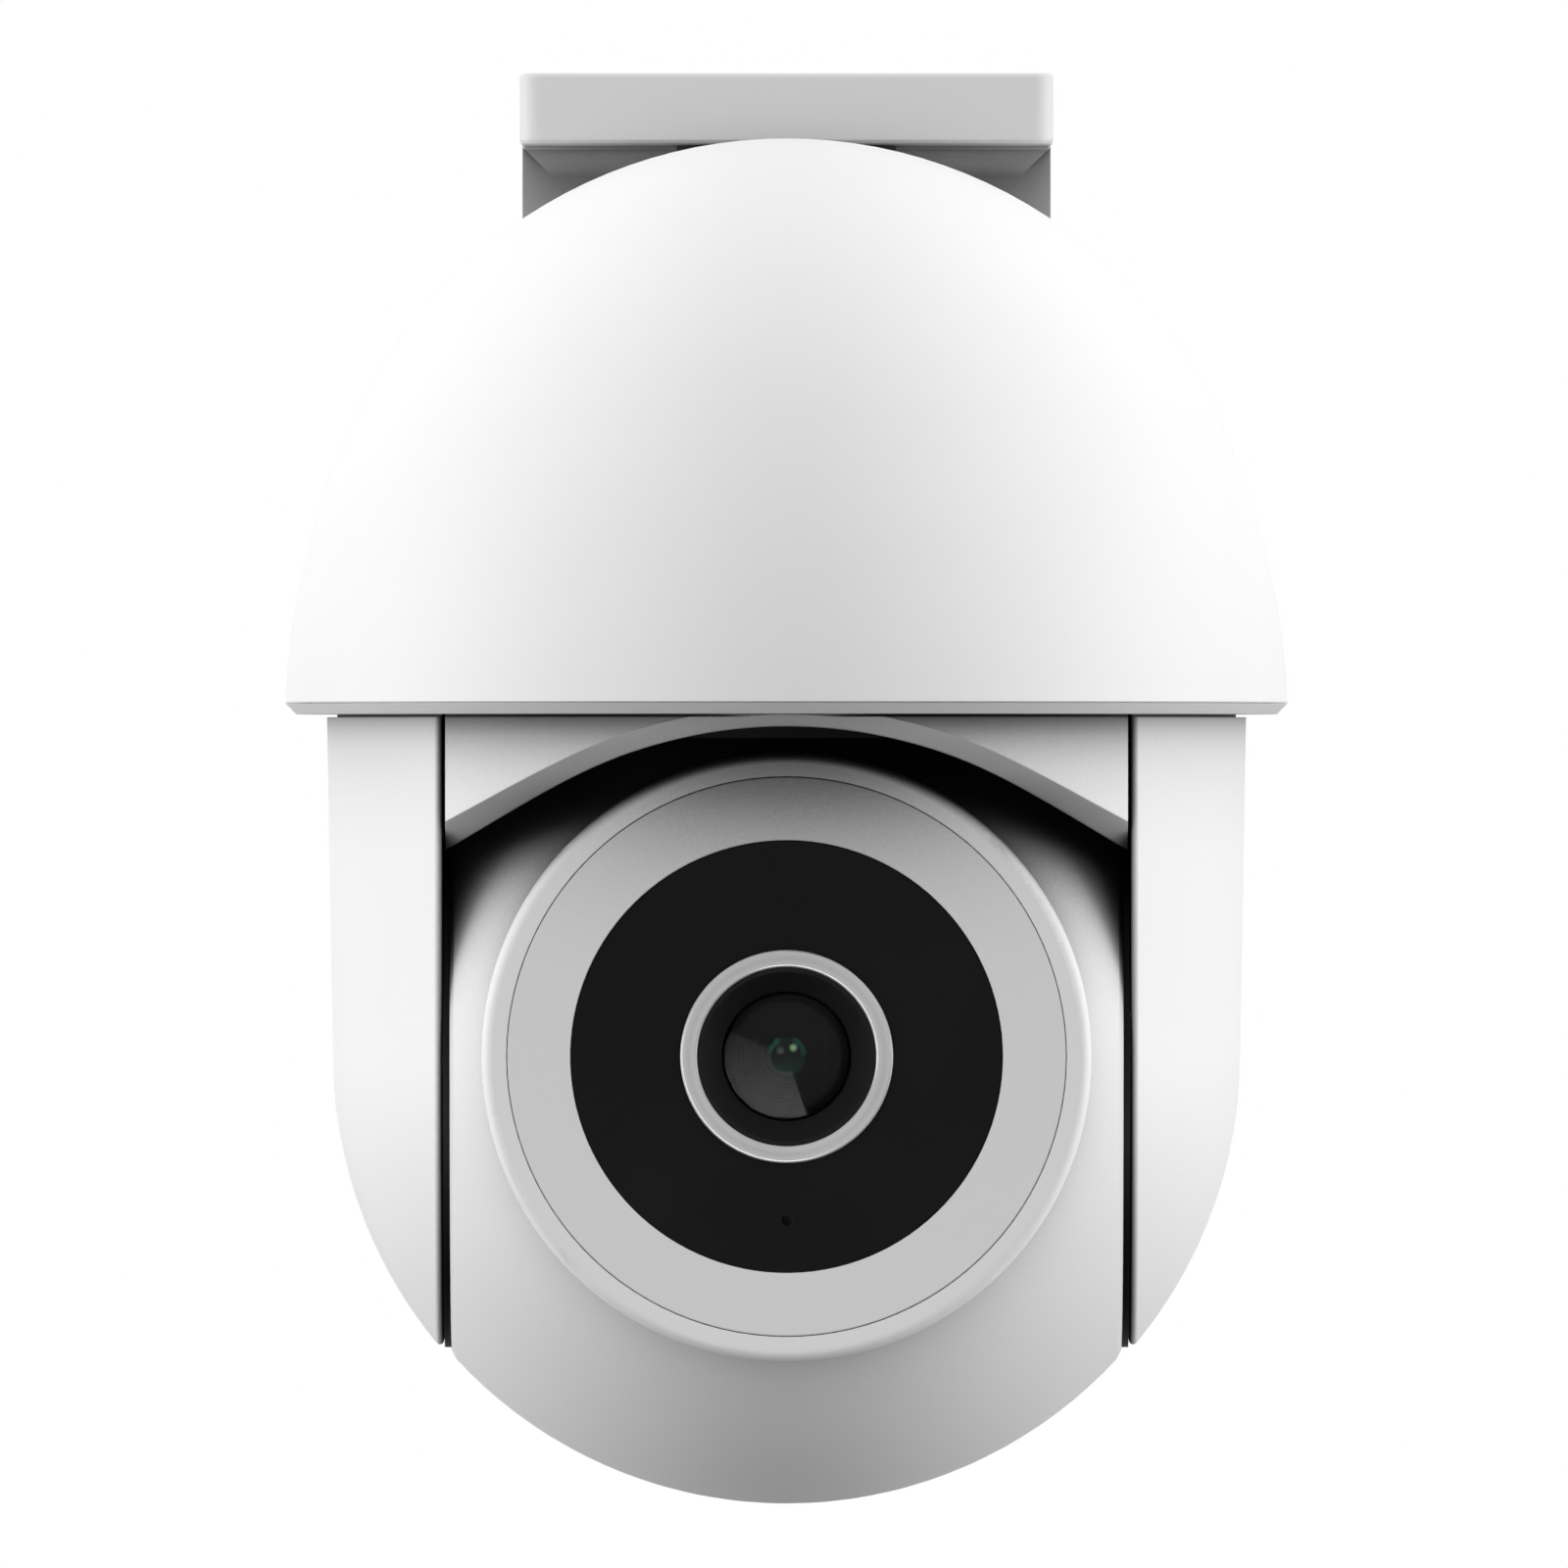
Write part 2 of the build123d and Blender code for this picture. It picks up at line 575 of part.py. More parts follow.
def make_shaft_clip():
    """Spring clip in the shaft's groove, open on one side."""
    ring = tube(shaft_r + 2.0, shaft_r - 0.8, clip_z + 0.05, clip_z + 0.95)
    return ring - span(0, 20, -2.5, 2.5, clip_z - 1, clip_z + 2)


def make_pan_gear():
    """Gear on the pan shaft: a toothed rim, a thin web with round windows, and a hub."""
    wheel = gear(pan_module, pan_gear_teeth, 0, pan_gear_low, pan_gear_top)
    rim_in = pan_gear_r - 3.0
    wheel -= tube(rim_in, housing_r, pan_gear_low - 1, pan_gear_low + 1.2)
    wheel -= tube(rim_in, housing_r, pan_gear_top - 1.2, pan_gear_top + 1)
    for n in range(6):
        x, y = at_angle((rim_in + housing_r) / 2, 30 + 60 * n)
        wheel -= post(2.2, pan_gear_low - 1, pan_gear_top + 1, x, y)
    return wheel - post(shaft_r + snug / 2, pan_gear_low - 1, pan_gear_top + 1)


def make_pan_pinion():
    """Pinion on the pan motor's shaft, with a gap between two of its teeth facing the gear."""
    turn = 180 + 180 / pan_pinion_teeth
    pinion = gear(pan_module, pan_pinion_teeth, turn, pan_gear_low - 0.3, pan_gear_top + 0.3)
    return Pos(pan_centres, 0, 0) * (pinion - post(1.5 + run_fit, pan_gear_low - 1, pan_gear_top + 1))


def make_pan_motor():
    """Can motor that stands on the deck, with two ears level with its top."""
    can = fillet(post(motor_r, motor_low, motor_top).edges().filter_by(GeomType.CIRCLE), 0.6)
    ear = block(7.0, 2 * (motor_r + 7.0), motor_top - 1.5, motor_top)
    ear = fillet(ear.edges().filter_by(Axis.Z), 3.4)
    motor = can + ear + post(4.4, motor_top - 1, motor_top + 1.4) + post(1.5, motor_top, pan_gear_top + 0.8)
    for side in (-1, 1):
        motor -= post(1.4, motor_top - 3, motor_top + 1, 0, side * (motor_r + 3.5))
    motor += span(motor_r - 1, motor_r + 3.0, -4, 4, motor_low + 2, motor_low + 9)
    return Pos(pan_centres, 0, 0) * motor


def make_base_screws():
    """Screws that hold the pan motor and the main board."""
    motor_screw = Pos(0, 0, motor_top) * screw(1.2, 2.3, 1.3, 7.0)
    board_screw = Pos(0, 0, board_z + board_t) * screw(1.2, 2.3, 1.3, 7.0)
    screws = [Pos(x, y, 0) * motor_screw for x, y in motor_ears]
    return screws + [Pos(x, y, 0) * board_screw for x, y in board_posts]


# ---------------------------------------------------------------- main board
def make_main_board():
    """Round board above the pan drive, with a hole for the wires."""
    board = post(dome_inner_r(board_z + board_t) - 1.8, board_z, board_z + board_t)
    board -= post(shaft_r - 0.5, board_z - 1, board_z + board_t + 1)
    for x, y in board_posts:
        board -= post(1.3, board_z - 1, board_z + board_t + 1, x, y)
    return board


def make_main_board_parts():
    """Processor, radio module, plugs, capacitors and the upright aerial strip."""
    low = board_z + board_t
    parts = [
        block(13, 13, low, low + 1.4, -16, 0),
        block(11, 13, low, low + 2.0, 15, -6),
        block(12, 5, low, low + 4.5, 0, 14),
        block(7, 5, low, low + 4.5, 13, 12),
        block(22, 0.6, low, low + 6.0, 0, -16),
    ]
    return parts + [post(2.6, low, low + 5.0, x, 13) for x in (-16, -10)]


# ---------------------------------------------------------------- yoke
def make_yoke_frame():
    """Inner frame: a cup over the ball, a flange that carries the covers, and two side arms."""
    dome = Sphere(cup_out_r) + post(shaft_flange_r + 1.0, cup_in_r - 8, cup_out_r)
    cup = dome & span(-FAR, FAR, -FAR, FAR, flange_low, cup_out_r)
    flange = post(panel_r - panel_wall - 0.2, flange_low, flange_top)
    side = span(arm_x, arm_out_x, -FAR, FAR, -FAR, flange_top) & yoke_form(cheek_wall + 0.2)
    frame = cup + flange + both_sides(side)
    frame -= Sphere(cup_in_r) & span(-FAR, FAR, -FAR, FAR, flange_low - 1, FAR)
    frame -= post(shaft_bore_r, cup_in_r - 9, cup_out_r + 1)
    for x, y in shaft_screw_places():
        frame -= post(0.8, cup_in_r - 9, cup_out_r + 1, x, y)
    for x, y in yoke_screw_places():
        frame -= post(1.2, flange_low - 1, flange_top + 1, x, y)
        frame -= post(2.2, flange_top - 1.1, flange_top + 1, x, y)
    frame -= SIDEWAYS * post(trunnion_r + snug, -FAR, FAR)
    for y, z in trunnion_screw_places():
        frame -= SIDEWAYS * post(0.9, -FAR, FAR, y, z)
    return frame


def yoke_screw_places():
    """Screws down through the flange: two for each cheek and two for each panel."""
    angles = (cover_screw_angle, -cover_screw_angle, 180 - cover_screw_angle, 180 + cover_screw_angle)
    panels = [(x, y) for x in (-panel_screw_x, panel_screw_x) for y in (-panel_screw_y, panel_screw_y)]
    return [at_angle(cover_screw_r, a) for a in angles] + panels


def make_yoke_cover_screws():
    one = Pos(0, 0, flange_top - 1.1) * screw(1.1, 2.1, 1.0, 5.6)
    return [Pos(x, y, 0) * one for x, y in yoke_screw_places()]


def cover_boss(x, y, low):
    """Screw boss under the flange, with a rib that runs out to the cover's wall."""
    out = 1 + 4.6 / sqrt(x**2 + y**2)
    rib = Pos(0, 0, low) * extrude(make_face(Polyline(*rib_corners(x, y, out), close=True)), flange_low - low)
    return post(2.5, low, flange_low, x, y) + rib


def rib_corners(x, y, out):
    """Corners of a rib 2 mm wide, from a point outwards to `out` times its distance from the pan axis."""
    r = sqrt(x**2 + y**2)
    across_x, across_y = -y / r, x / r
    return [
        (x + across_x, y + across_y), (x * out + across_x, y * out + across_y),
        (x * out - across_x, y * out - across_y), (x - across_x, y - across_y),
    ]


def rain_lip(play):
    """Ring on top of the yoke's covers that closes the gap under the dome, made larger by `play`."""
    outer = panel_r - rain_lip_in
    return tube(outer + play, outer - rain_lip_t - play, flange_top - 0.5, flange_top + rain_lip_h + play)


def make_cheek():
    """Hollow side cover on the +X side: part of a drum that ends below in part of a ball."""
    outside = yoke_form(0) & span(cheek_x, FAR, -FAR, FAR, -FAR, FAR)
    edge = outside.faces().sort_by(Axis.X)[0].edges().filter_by(lambda e: e.center().Z < flange_top - 0.5)
    outside = fillet(edge, cheek_edge)
    cheek = outside - yoke_form(cheek_wall)
    cheek += rain_lip(0) & span(cheek_x, FAR, -FAR, FAR, 0, FAR)
    for angle in (cover_screw_angle, -cover_screw_angle):
        x, y = at_angle(cover_screw_r, angle)
        cheek += cover_boss(x, y, flange_low - 9) & yoke_form(0.5)
        cheek -= post(1.1, flange_low - 8, flange_low + 1, x, y)
    return cheek


def panel_blank(low):
    """Curved wall in front of the pan axis, as wide as the space between the cheeks."""
    half = cheek_x - panel_seam
    wall = tube(panel_r, panel_r - panel_wall, low, flange_top) + rain_lip(0)
    return wall & span(-half, half, -FAR, 0, -FAR, FAR)


def panel_bosses():
    """Two screw bosses behind a front panel, reaching into its wall."""
    bosses = [cover_boss(x, -panel_screw_y, flange_low - 6) for x in (-panel_screw_x, panel_screw_x)]
    return [boss & post(panel_r - panel_wall / 2, -FAR, FAR) for boss in bosses]


def panel_pilots():
    xs = (-panel_screw_x, panel_screw_x)
    return [post(1.1, flange_low - 5, flange_low + 1, x, -panel_screw_y) for x in xs]


def arch_height(x, radius, top):
    """Height of the brow's arch at x: an arc that runs on straight beyond brow_straight_x."""
    inside = min(abs(x), brow_straight_x)
    rise = sqrt(radius**2 - inside**2)
    slope = inside / rise
    return top - radius + rise - slope * (abs(x) - inside)


def arch_edge(r, radius, top, half):
    """The arch as a curve that lies on a drum of radius r."""
    count = 12
    xs = [half * (2 * n / count - 1) for n in range(count + 1)]
    return Spline(*[(x, -sqrt(r**2 - x**2), arch_height(x, radius, top)) for x in xs])


def make_front_brow():
    """Front panel with a wide arch over the face disc, bevelled from its outer to its inner edge."""
    brow = panel_blank(flange_low - 25) + panel_bosses()
    outer = (brow_outer_r, flange_top + brow_outer_top)
    inner = (brow_inner_r, flange_top - brow_inner_top)
    past = 1.0
    rise = tuple((o - i) * past / panel_wall for o, i in zip(outer, inner))
    half = cheek_x + 2
    outer_edge = arch_edge(panel_r + past, outer[0] + rise[0], outer[1] + rise[1], half)
    inner_edge = arch_edge(panel_r - panel_wall - past, inner[0] - rise[0], inner[1] - rise[1], half)
    bevel = Face.make_surface_from_curves(outer_edge, inner_edge)
    brow -= extrude(bevel, amount=90, dir=(0, 0, -1))
    below = span(-FAR, FAR, -FAR, FAR, -FAR, flange_low - 6.1)
    brow -= post(panel_r - panel_wall - past / 2, -FAR, FAR) & below
    return brow - panel_pilots()


def make_rear_panel():
    """Rear panel: a plain curved band with a chamfered lower edge."""
    low = flange_top - rear_panel_drop
    wall = panel_blank(low)
    edge = wall.faces().sort_by(Axis.Z)[0].edges().sort_by(Axis.Y)[0]
    wall = chamfer(edge, 0.8) + panel_bosses()
    return Rot(0, 0, 180) * (wall - panel_pilots())


# ---------------------------------------------------------------- tilt drive
def trunnion_screw_places():
    return [at_angle(7.4, 90 + 120 * n) for n in range(3)]


def make_trunnion(reach):
    """Hollow trunnion on the +X side, flanged outside the frame's arm, reaching in to x = reach."""
    pin = post(trunnion_r, reach, arm_out_x + 1)
    pin += post(trunnion_flange_r, arm_out_x, arm_out_x + trunnion_flange_t)
    pin -= post(trunnion_bore_r, reach - 1, arm_out_x + 9)
    for y, z in trunnion_screw_places():
        pin -= post(0.9, arm_out_x - 1, arm_out_x + 9, y, z)
    return SIDEWAYS * pin


def make_frame_screws():
    """Small screws that hold the trunnions' flanges and the pan shaft's flange."""
    side = Pos(0, 0, arm_out_x + trunnion_flange_t) * screw(0.85, 1.7, 1.0, trunnion_flange_t + arm_t)
    right = [SIDEWAYS * (Pos(y, z, 0) * side) for y, z in trunnion_screw_places()]
    left = [mirror(s, about=Plane.YZ) for s in right]
    top = Pos(0, 0, shaft_flange_top - 0.9) * screw(0.75, 1.4, 0.8, 2.4)
    return right + left + [Pos(x, y, 0) * top for x, y in shaft_screw_places()]


def make_tilt_bush():
    """Bush held between the ball's two shells on the +X side. Its wide flange closes the side gap."""
    bore = trunnion_r + run_fit
    low = ball_flat_x - ball_wall - 1.0
    sleeve = tube(tilt_bush_r, bore, low, arm_x - 0.2)
    collar = tube(tilt_bush_r + 2.2, bore, ball_flat_x + snug, arm_x - 0.2)
    shield = tube(shield_r, bore, ball_flat_x + snug, cheek_x - shield_play)
    return SIDEWAYS * (sleeve + collar + shield)


def make_tilt_gear():
    """Gear fixed on the trunnion inside the ball: the motor walks round it."""
    wheel = gear(tilt_module, tilt_gear_teeth, 0, tilt_gear_in_x, tilt_gear_out_x)
    return SIDEWAYS * (wheel - post(trunnion_r + snug / 2, tilt_gear_in_x - 1, tilt_gear_out_x + 1))


def make_tilt_pinion():
    turn = 180 + 180 / tilt_pinion_teeth
    pinion = gear(tilt_module, tilt_pinion_teeth, turn, tilt_gear_in_x - 0.2, tilt_gear_out_x + 0.2)
    pinion -= post(1.0 + run_fit, tilt_gear_in_x - 1, tilt_gear_out_x + 1)
    return SIDEWAYS * (Pos(tilt_motor_y, 0, 0) * pinion)


def make_tilt_motor():
    """Small can motor inside the ball, with its shaft along X and two ears on its outer end."""
    out = tilt_motor_out_x
    can = post(tilt_motor_r, out - tilt_motor_length, out)
    can = fillet(can.edges().filter_by(GeomType.CIRCLE), 0.5)
    ear = block(6.0, 2 * (tilt_motor_r + 6.0), out - 1.2, out)
    ear = fillet(ear.edges().filter_by(Axis.Z), 2.9)
    motor = can + ear + post(1.0, out - 1, tilt_gear_out_x + 0.6)
    for side in (-1, 1):
        motor -= post(1.1, out - 3, out + 1, 0, side * tilt_ear_z)
    return SIDEWAYS * (Pos(tilt_motor_y, 0, 0) * motor)


# ---------------------------------------------------------------- ball shells
def ball_outside():
    """The ball's outside, with a chamfer round each flat side."""
    edge_x = ball_flat_x - ball_flat_edge
    edge_r = sqrt(ball_r**2 - edge_x**2)
    flat_r = sqrt(ball_r**2 - ball_flat_x**2) - ball_flat_edge
    with BuildSketch(Plane.XY) as profile:
        with BuildLine():
            Polyline((-edge_x, edge_r), (-ball_flat_x, flat_r), (-ball_flat_x, 0),
                     (ball_flat_x, 0), (ball_flat_x, flat_r), (edge_x, edge_r))
            ThreePointArc((edge_x, edge_r), (0, ball_r), (-edge_x, edge_r))
        make_face()
    return revolve(profile.sketch, Axis.X)


def front_form():
    """The ball's outside in front of the split, with the face disc standing out of it."""
    disc = post(face_disc_r, 15, face_y)
    disc = fillet(disc.edges().filter_by(GeomType.CIRCLE).sort_by(Axis.Z)[-1], face_rim_fillet)
    return (ball_outside() & span(-FAR, FAR, -face_y, 0, -FAR, FAR)) + FORWARD * disc


def front_hollow():
    """Space inside the front shell."""
    ball = ball_form(ball_wall) & span(-FAR, FAR, -face_inside, 1, -FAR, FAR)
    return ball + FORWARD * post(face_disc_r - face_floor_t, 25, face_inside)


def seal_ring(play):
    """Ring that lies in grooves in both shells along the split, wider by `play`."""
    ring = ball_form(0.8 - play) - ball_form(1.5 + play)
    ring &= span(-FAR, FAR, -0.7 - play, ball_seam + 0.7 + play, -FAR, FAR)
    return ring - bush_seat()


def bush_seat():
    return SIDEWAYS * post(tilt_bush_r + snug / 2, -FAR, FAR)


def make_ball_front():
    """Front shell: the front half of the ball, with the disc's side, rim and floor."""
    shell = front_form() - front_hollow()
    shell -= FORWARD * post(face_ring_r, face_floor, face_y + 5)
    shell -= FORWARD * post(window_hole_r, 0, face_y)
    shell -= FORWARD * post(mic_r + 0.3, face_inside - 1, face_y, 0, -mic_drop)
    for x, z in ball_screw_places:
        boss = FORWARD * post(3.2, 0, FAR, x, z) & ball_form(0.6)
        shell += boss - FORWARD * post(1.2, -1, 12, x, z)
    for x, z in led_board_posts:
        shell += FORWARD * post(2.2, led_z() + board_t, face_inside + 0.5, x, z)
        shell -= FORWARD * post(1.0, led_z(), led_z() + board_t + 2.0, x, z)
    return shell - bush_seat() - seal_ring(0)


def make_ball_rear():
    """Rear shell: screw wells, speaker slots, the tilt motor's posts and the opening for the card."""
    shell = (ball_outside() - ball_form(ball_wall)) & span(-FAR, FAR, ball_seam, FAR, -FAR, FAR)
    for x, z in ball_screw_places:
        shell += BACKWARD * post(3.9, ball_seam, FAR, x, -z) & ball_form(0.6)
        shell -= BACKWARD * (post(1.4, -1, FAR, x, -z) + post(2.7, 9, FAR, x, -z))
    for z in (-tilt_ear_z, tilt_ear_z):
        stud = post(2.6, tilt_motor_out_x, ball_flat_x - ball_wall + 0.5, tilt_motor_y, z)
        shell += SIDEWAYS * (stud - post(0.9, tilt_motor_out_x - 1, tilt_motor_out_x + 6, tilt_motor_y, z))
    for x, y in control_board_places:
        stud = CONTROL * post(2.2, control_z() + board_t, FAR, x, y) & ball_form(ball_wall / 2)
        shell += stud - CONTROL * post(0.9, control_z(), control_z() + 8, x, y)
    for n in range(-3, 4):
        length = 20 - 2.4 * abs(n)
        slot = span(-length / 2, length / 2, 30, FAR, 2.6 * n - 0.65, 2.6 * n + 0.65)
        shell -= fillet(slot.edges().filter_by(Axis.Y), 0.6)
    pad = (ball_form(0.3) - ball_form(hatch_t + hatch_seal_t + 2.0))
    pad &= SERVICE * block(hatch_width + 7, hatch_height + 7, ball_r / 3, FAR)
    shell += pad
    shell -= service_opening(0)
    shell -= hatch_bore()
    for x, y in service_board_places():
        stud = SERVICE * post(1.7, service_z() + 1.2, FAR, x, y) & ball_form(3.0)
        shell += stud
    for x in (-hatch_screw_x, hatch_screw_x):
        shell -= SERVICE * post(0.8, ball_r - 8.9, FAR, x, 0)
    return shell - bush_seat() - seal_ring(0)


def make_ball_screws():
    one = Pos(0, 0, 9) * screw(1.2, 2.5, 2.0, 19)
    return [BACKWARD * (Pos(x, -z, 0) * one) for x, z in ball_screw_places]


# ---------------------------------------------------------------- service hatch
def service_z():
    """Distance from the ball's centre to the service board."""
    return ball_r - 22.4


def service_board_places():
    return [(x, y) for x in (-11, 11) for y in (-8, 8)]


def service_opening(inset):
    """Rounded opening outside the ledge that the hatch sits on."""
    hole = block(hatch_width - 2 * inset, hatch_height - 2 * inset, ball_r / 2, FAR)
    hole = fillet(hole.edges().filter_by(Axis.Z), hatch_corner - inset)
    return SERVICE * hole - Sphere(ball_r - hatch_t - hatch_seal_t)


def hatch_bore():
    """Opening through the ball's wall under the hatch."""
    return SERVICE * block(hatch_bore_width, hatch_bore_height, ball_r / 2, FAR)


def make_service_cover():
    """Hatch over the card and the reset button, flush with the ball."""
    cover = (ball_form(0) - ball_form(hatch_t)) & service_opening(hatch_play)
    for x in (-hatch_screw_x, hatch_screw_x):
        cover -= SERVICE * (post(0.9, ball_r / 2, FAR, x, 0) + post(1.6, ball_r - 1.9, FAR, x, 0))
    return cover


def make_service_seal():
    ring = (ball_form(hatch_t) - ball_form(hatch_t + hatch_seal_t)) & service_opening(hatch_play)
    ring -= hatch_bore()
    for x in (-hatch_screw_x, hatch_screw_x):
        ring -= SERVICE * post(0.9, ball_r / 2, FAR, x, 0)
    return ring


def make_service_board():
    """Small board with the body of the reset switch."""
    low = service_z()
    board = block(25, 20, low, low + 1.2)
    switch = block(4.6, 3.8, low + 1.2, low + 4.2, *reset_place)
    switch -= post(1.15, low + 2.4, low + 9, *reset_place)
    return [SERVICE * board, SERVICE * switch]


def make_reset_button():
    low = service_z() + 3.2
    return SERVICE * post(1.0, low, low + 11.5, *reset_place)


def make_sd_socket():
    low = service_z() + 1.2
    body = block(14, 3.0, low, low + 12, 0, -card_drop)
    return SERVICE * (body - block(11.2, 1.0, low + 0.8, low + 13, 0, -card_drop))


def make_sd_card():
    low = service_z() + 2.1
    return SERVICE * block(11.0, 0.8, low, low + 15, 0, -card_drop)


# ---------------------------------------------------------------- face and lens
def make_face_ring():
    """White ring between the disc's rim and the black window."""
    return FORWARD * tube(face_ring_r - face_seam, window_r + 0.1, face_floor, face_y)


def make_front_window():
    """Black window with the holes for the lens ring and the microphone."""
    glass = tube(window_r, lens_ring_r + snug, window_front - window_t, window_front)
    return FORWARD * (glass - post(mic_hole_r, 0, FAR, 0, -mic_drop))


def make_window_gasket():
    ring = tube(window_r - 0.3, window_hole_r + 0.1, face_floor, face_floor + window_gasket_t)
    return FORWARD * (ring - post(mic_r + 0.3, 0, FAR, 0, -mic_drop))


def make_lens_ring():
    """Silver ring that stands a little proud of the window."""
    top = window_front + lens_ring_proud
    ring = tube(lens_ring_r, lens_ring_bore_r, top - lens_ring_depth, top)
    rims = ring.edges().filter_by(GeomType.CIRCLE).filter_by_position(Axis.Z, top - 0.01, top + 0.01)
    return FORWARD * fillet(rims, 0.3)


def lens_seat():
    """Forward distance of the front lens's edge."""
    return window_front - front_lens_set_back


def make_lens_cone():
    """Black funnel from the silver ring in to the front lens."""
    top = window_front + lens_ring_proud - 0.35
    out = lens_ring_bore_r - snug
    low = lens_seat() - 0.6
    outline = [(out, top), (out - 0.5, top), (front_lens_r + 0.1, lens_seat() + 0.5),
               (front_lens_r + 0.1, low), (out, low)]
    return FORWARD * revolve(Plane.XZ * make_face(Polyline(*outline, close=True)), Axis.Z)


def lens_solid(radius, low, edge, bulge):
    """Lens with a flat back and a ball-shaped front."""
    curve = (radius**2 + bulge**2) / (2 * bulge)
    cap = Pos(0, 0, edge + bulge - curve) * Sphere(curve)
    return cap & post(radius, low, edge + bulge)


def make_front_lens():
    return FORWARD * lens_solid(front_lens_r, lens_seat() - 2.0, lens_seat(), front_lens_bulge)


def make_inner_lens():
    low = lens_seat() - 6.5
    return FORWARD * lens_solid(pupil_r + 1.4, low, low + 1.5, 1.0)


def barrel_low():
    return lens_seat() - 0.7 - barrel_length


def make_lens_barrel():
    """Black barrel that holds the lenses, with a narrow stop in front of the inner lens."""
    top = lens_seat() - 0.7
    out = front_lens_r + barrel_wall
    inner = lens_seat() - 6.5
    barrel = post(out, barrel_low(), top)
    barrel -= post(front_lens_r, lens_seat() - 2.0, top + 1)
    barrel -= post(front_lens_r - 1.2, lens_seat() - 2.6, top)
    stop_length = lens_seat() - inner - 5.2
    stop = Pos(0, 0, inner + 2.6) * Cone(pupil_r, front_lens_r - 1.2, stop_length, align=ABOVE)
    barrel -= stop
    barrel -= post(pupil_r, inner, top)
    barrel -= post(pupil_r + 1.4, inner, inner + 2.55)
    return FORWARD * (barrel - post(pupil_r + 0.6, barrel_low() - 1, top))


def holder_z():
    """Forward distance of the image sensor board's front."""
    return barrel_low() - 8.6


def make_lens_holder():
    """Holder that carries the barrel over the image sensor and covers the filter switch."""
    low = holder_z()
    high = barrel_low() + 8
    out = front_lens_r + barrel_wall
    holder = block(30, 24, low, low + 8.4) + post(out + 2.0, low + 8, high)
    holder -= block(26, 20, low - 1, low + 6.8)
    holder -= post(out + snug, barrel_low() - snug, high + 1)
    return FORWARD * (holder - post(4.4, low, high))


def make_ir_cut_housing():
    """Frame over the image sensor in which the filter slides."""
    low = holder_z()
    body = block(24, 15, low, low + 6.2)
    body -= block(9, 7, low - 1, low + 2.8)
    body -= block(21, 10.4, low + 2.4, low + 4.2)
    return FORWARD * (body - post(3.6, low, low + 9))


def make_ir_cut_slider():
    """Slide that carries the infrared filter in and out of the light's way."""
    low = holder_z() + 2.7
    return FORWARD * block(13, 10, low, low + 1.2, filter_rest_x)


def make_sensor_board():
    """Board with the image sensor on its front."""
    front = holder_z()
    board = block(38, 36, front - 1.2, front)
    return [FORWARD * board, FORWARD * block(7, 5.4, front, front + 1.3)]


def led_z():
    """Forward distance of the LED board's back."""
    return face_inside - 1.0 - board_t


def make_led_board():
    """Ring board behind the window with the infrared LEDs."""
    board = tube(window_r + 1.6, front_lens_r + barrel_wall + 2.0, led_z(), led_z() + board_t)
    for x, z in led_board_posts:
        board -= post(1.1, led_z() - 1, led_z() + 9, x, z)
    leds = []
    top = window_front - window_t - 0.3
    for x, z in led_places:
        led = post(1.9, led_z() + board_t, top, x, z)
        leds.append(fillet(led.edges().filter_by(GeomType.CIRCLE).sort_by(Axis.Z)[-1], 1.2))
    return [FORWARD * shape for shape in [board] + leds]


def make_light_baffle():
    """Rubber sleeve that keeps the LEDs' light out of the lens."""
    low = led_z() + board_t
    inner = front_lens_r + barrel_wall + 0.3
    return FORWARD * tube(lens_ring_r - 0.1, inner, low, lens_seat() - 0.7)


def make_microphone():
    return FORWARD * post(mic_r, led_z() + board_t, window_front - window_t - 0.1, 0, -mic_drop)


def control_z():
    """Distance from the ball's centre back to the control board."""
    return tilt_motor_y + tilt_motor_r + 4.0


def make_control_board():
    board = block(46, 30, control_z(), control_z() + board_t)
    processor = block(12, 12, control_z() - 1.2, control_z(), -8, 2)
    chips = [processor, block(9, 6, control_z() - 3, control_z(), 12, -6)]
    for x, y in control_board_places:
        board -= post(1.0, control_z() - 1, control_z() + 9, x, y)
    return [CONTROL * shape for shape in [board] + chips]


def make_speaker():
    """Round speaker behind the slots, with a rubber edge that meets the shell."""
    low = control_z() + board_t + 3.0
    basket = post(8.0, low, low + 4) + post(13.0, low + 3, low + 6)
    edge = tube(14.0, 11.5, low + 5, FAR) & BACKWARD.inverse() * ball_form(ball_wall + snug)
    return BACKWARD * (basket + edge)


def make_head_screws():
    """Small screws of the tilt motor, the boards and the service hatch."""
    tilt_screw = screw(0.85, 1.7, 1.0, 6.0)
    lay = Pos(0, 0, tilt_motor_out_x - 1.2) * (Rot(180, 0, 0) * tilt_screw)
    screws = [SIDEWAYS * (Pos(tilt_motor_y, z, 0) * lay) for z in (-tilt_ear_z, tilt_ear_z)]
    for x, z in led_board_posts:
        screws.append(FORWARD * (Pos(x, z, led_z()) * (Rot(180, 0, 0) * screw(0.95, 1.8, 1.0, 3.2))))
    for x, y in control_board_places:
        screws.append(CONTROL * (Pos(x, y, control_z()) * (Rot(180, 0, 0) * screw(0.85, 1.7, 1.0, 6.0))))
    for x in (-hatch_screw_x, hatch_screw_x):
        screws.append(SERVICE * (Pos(x, 0, ball_r - 1.9) * screw(0.75, 1.5, 0.6, 4.4)))
    return screws


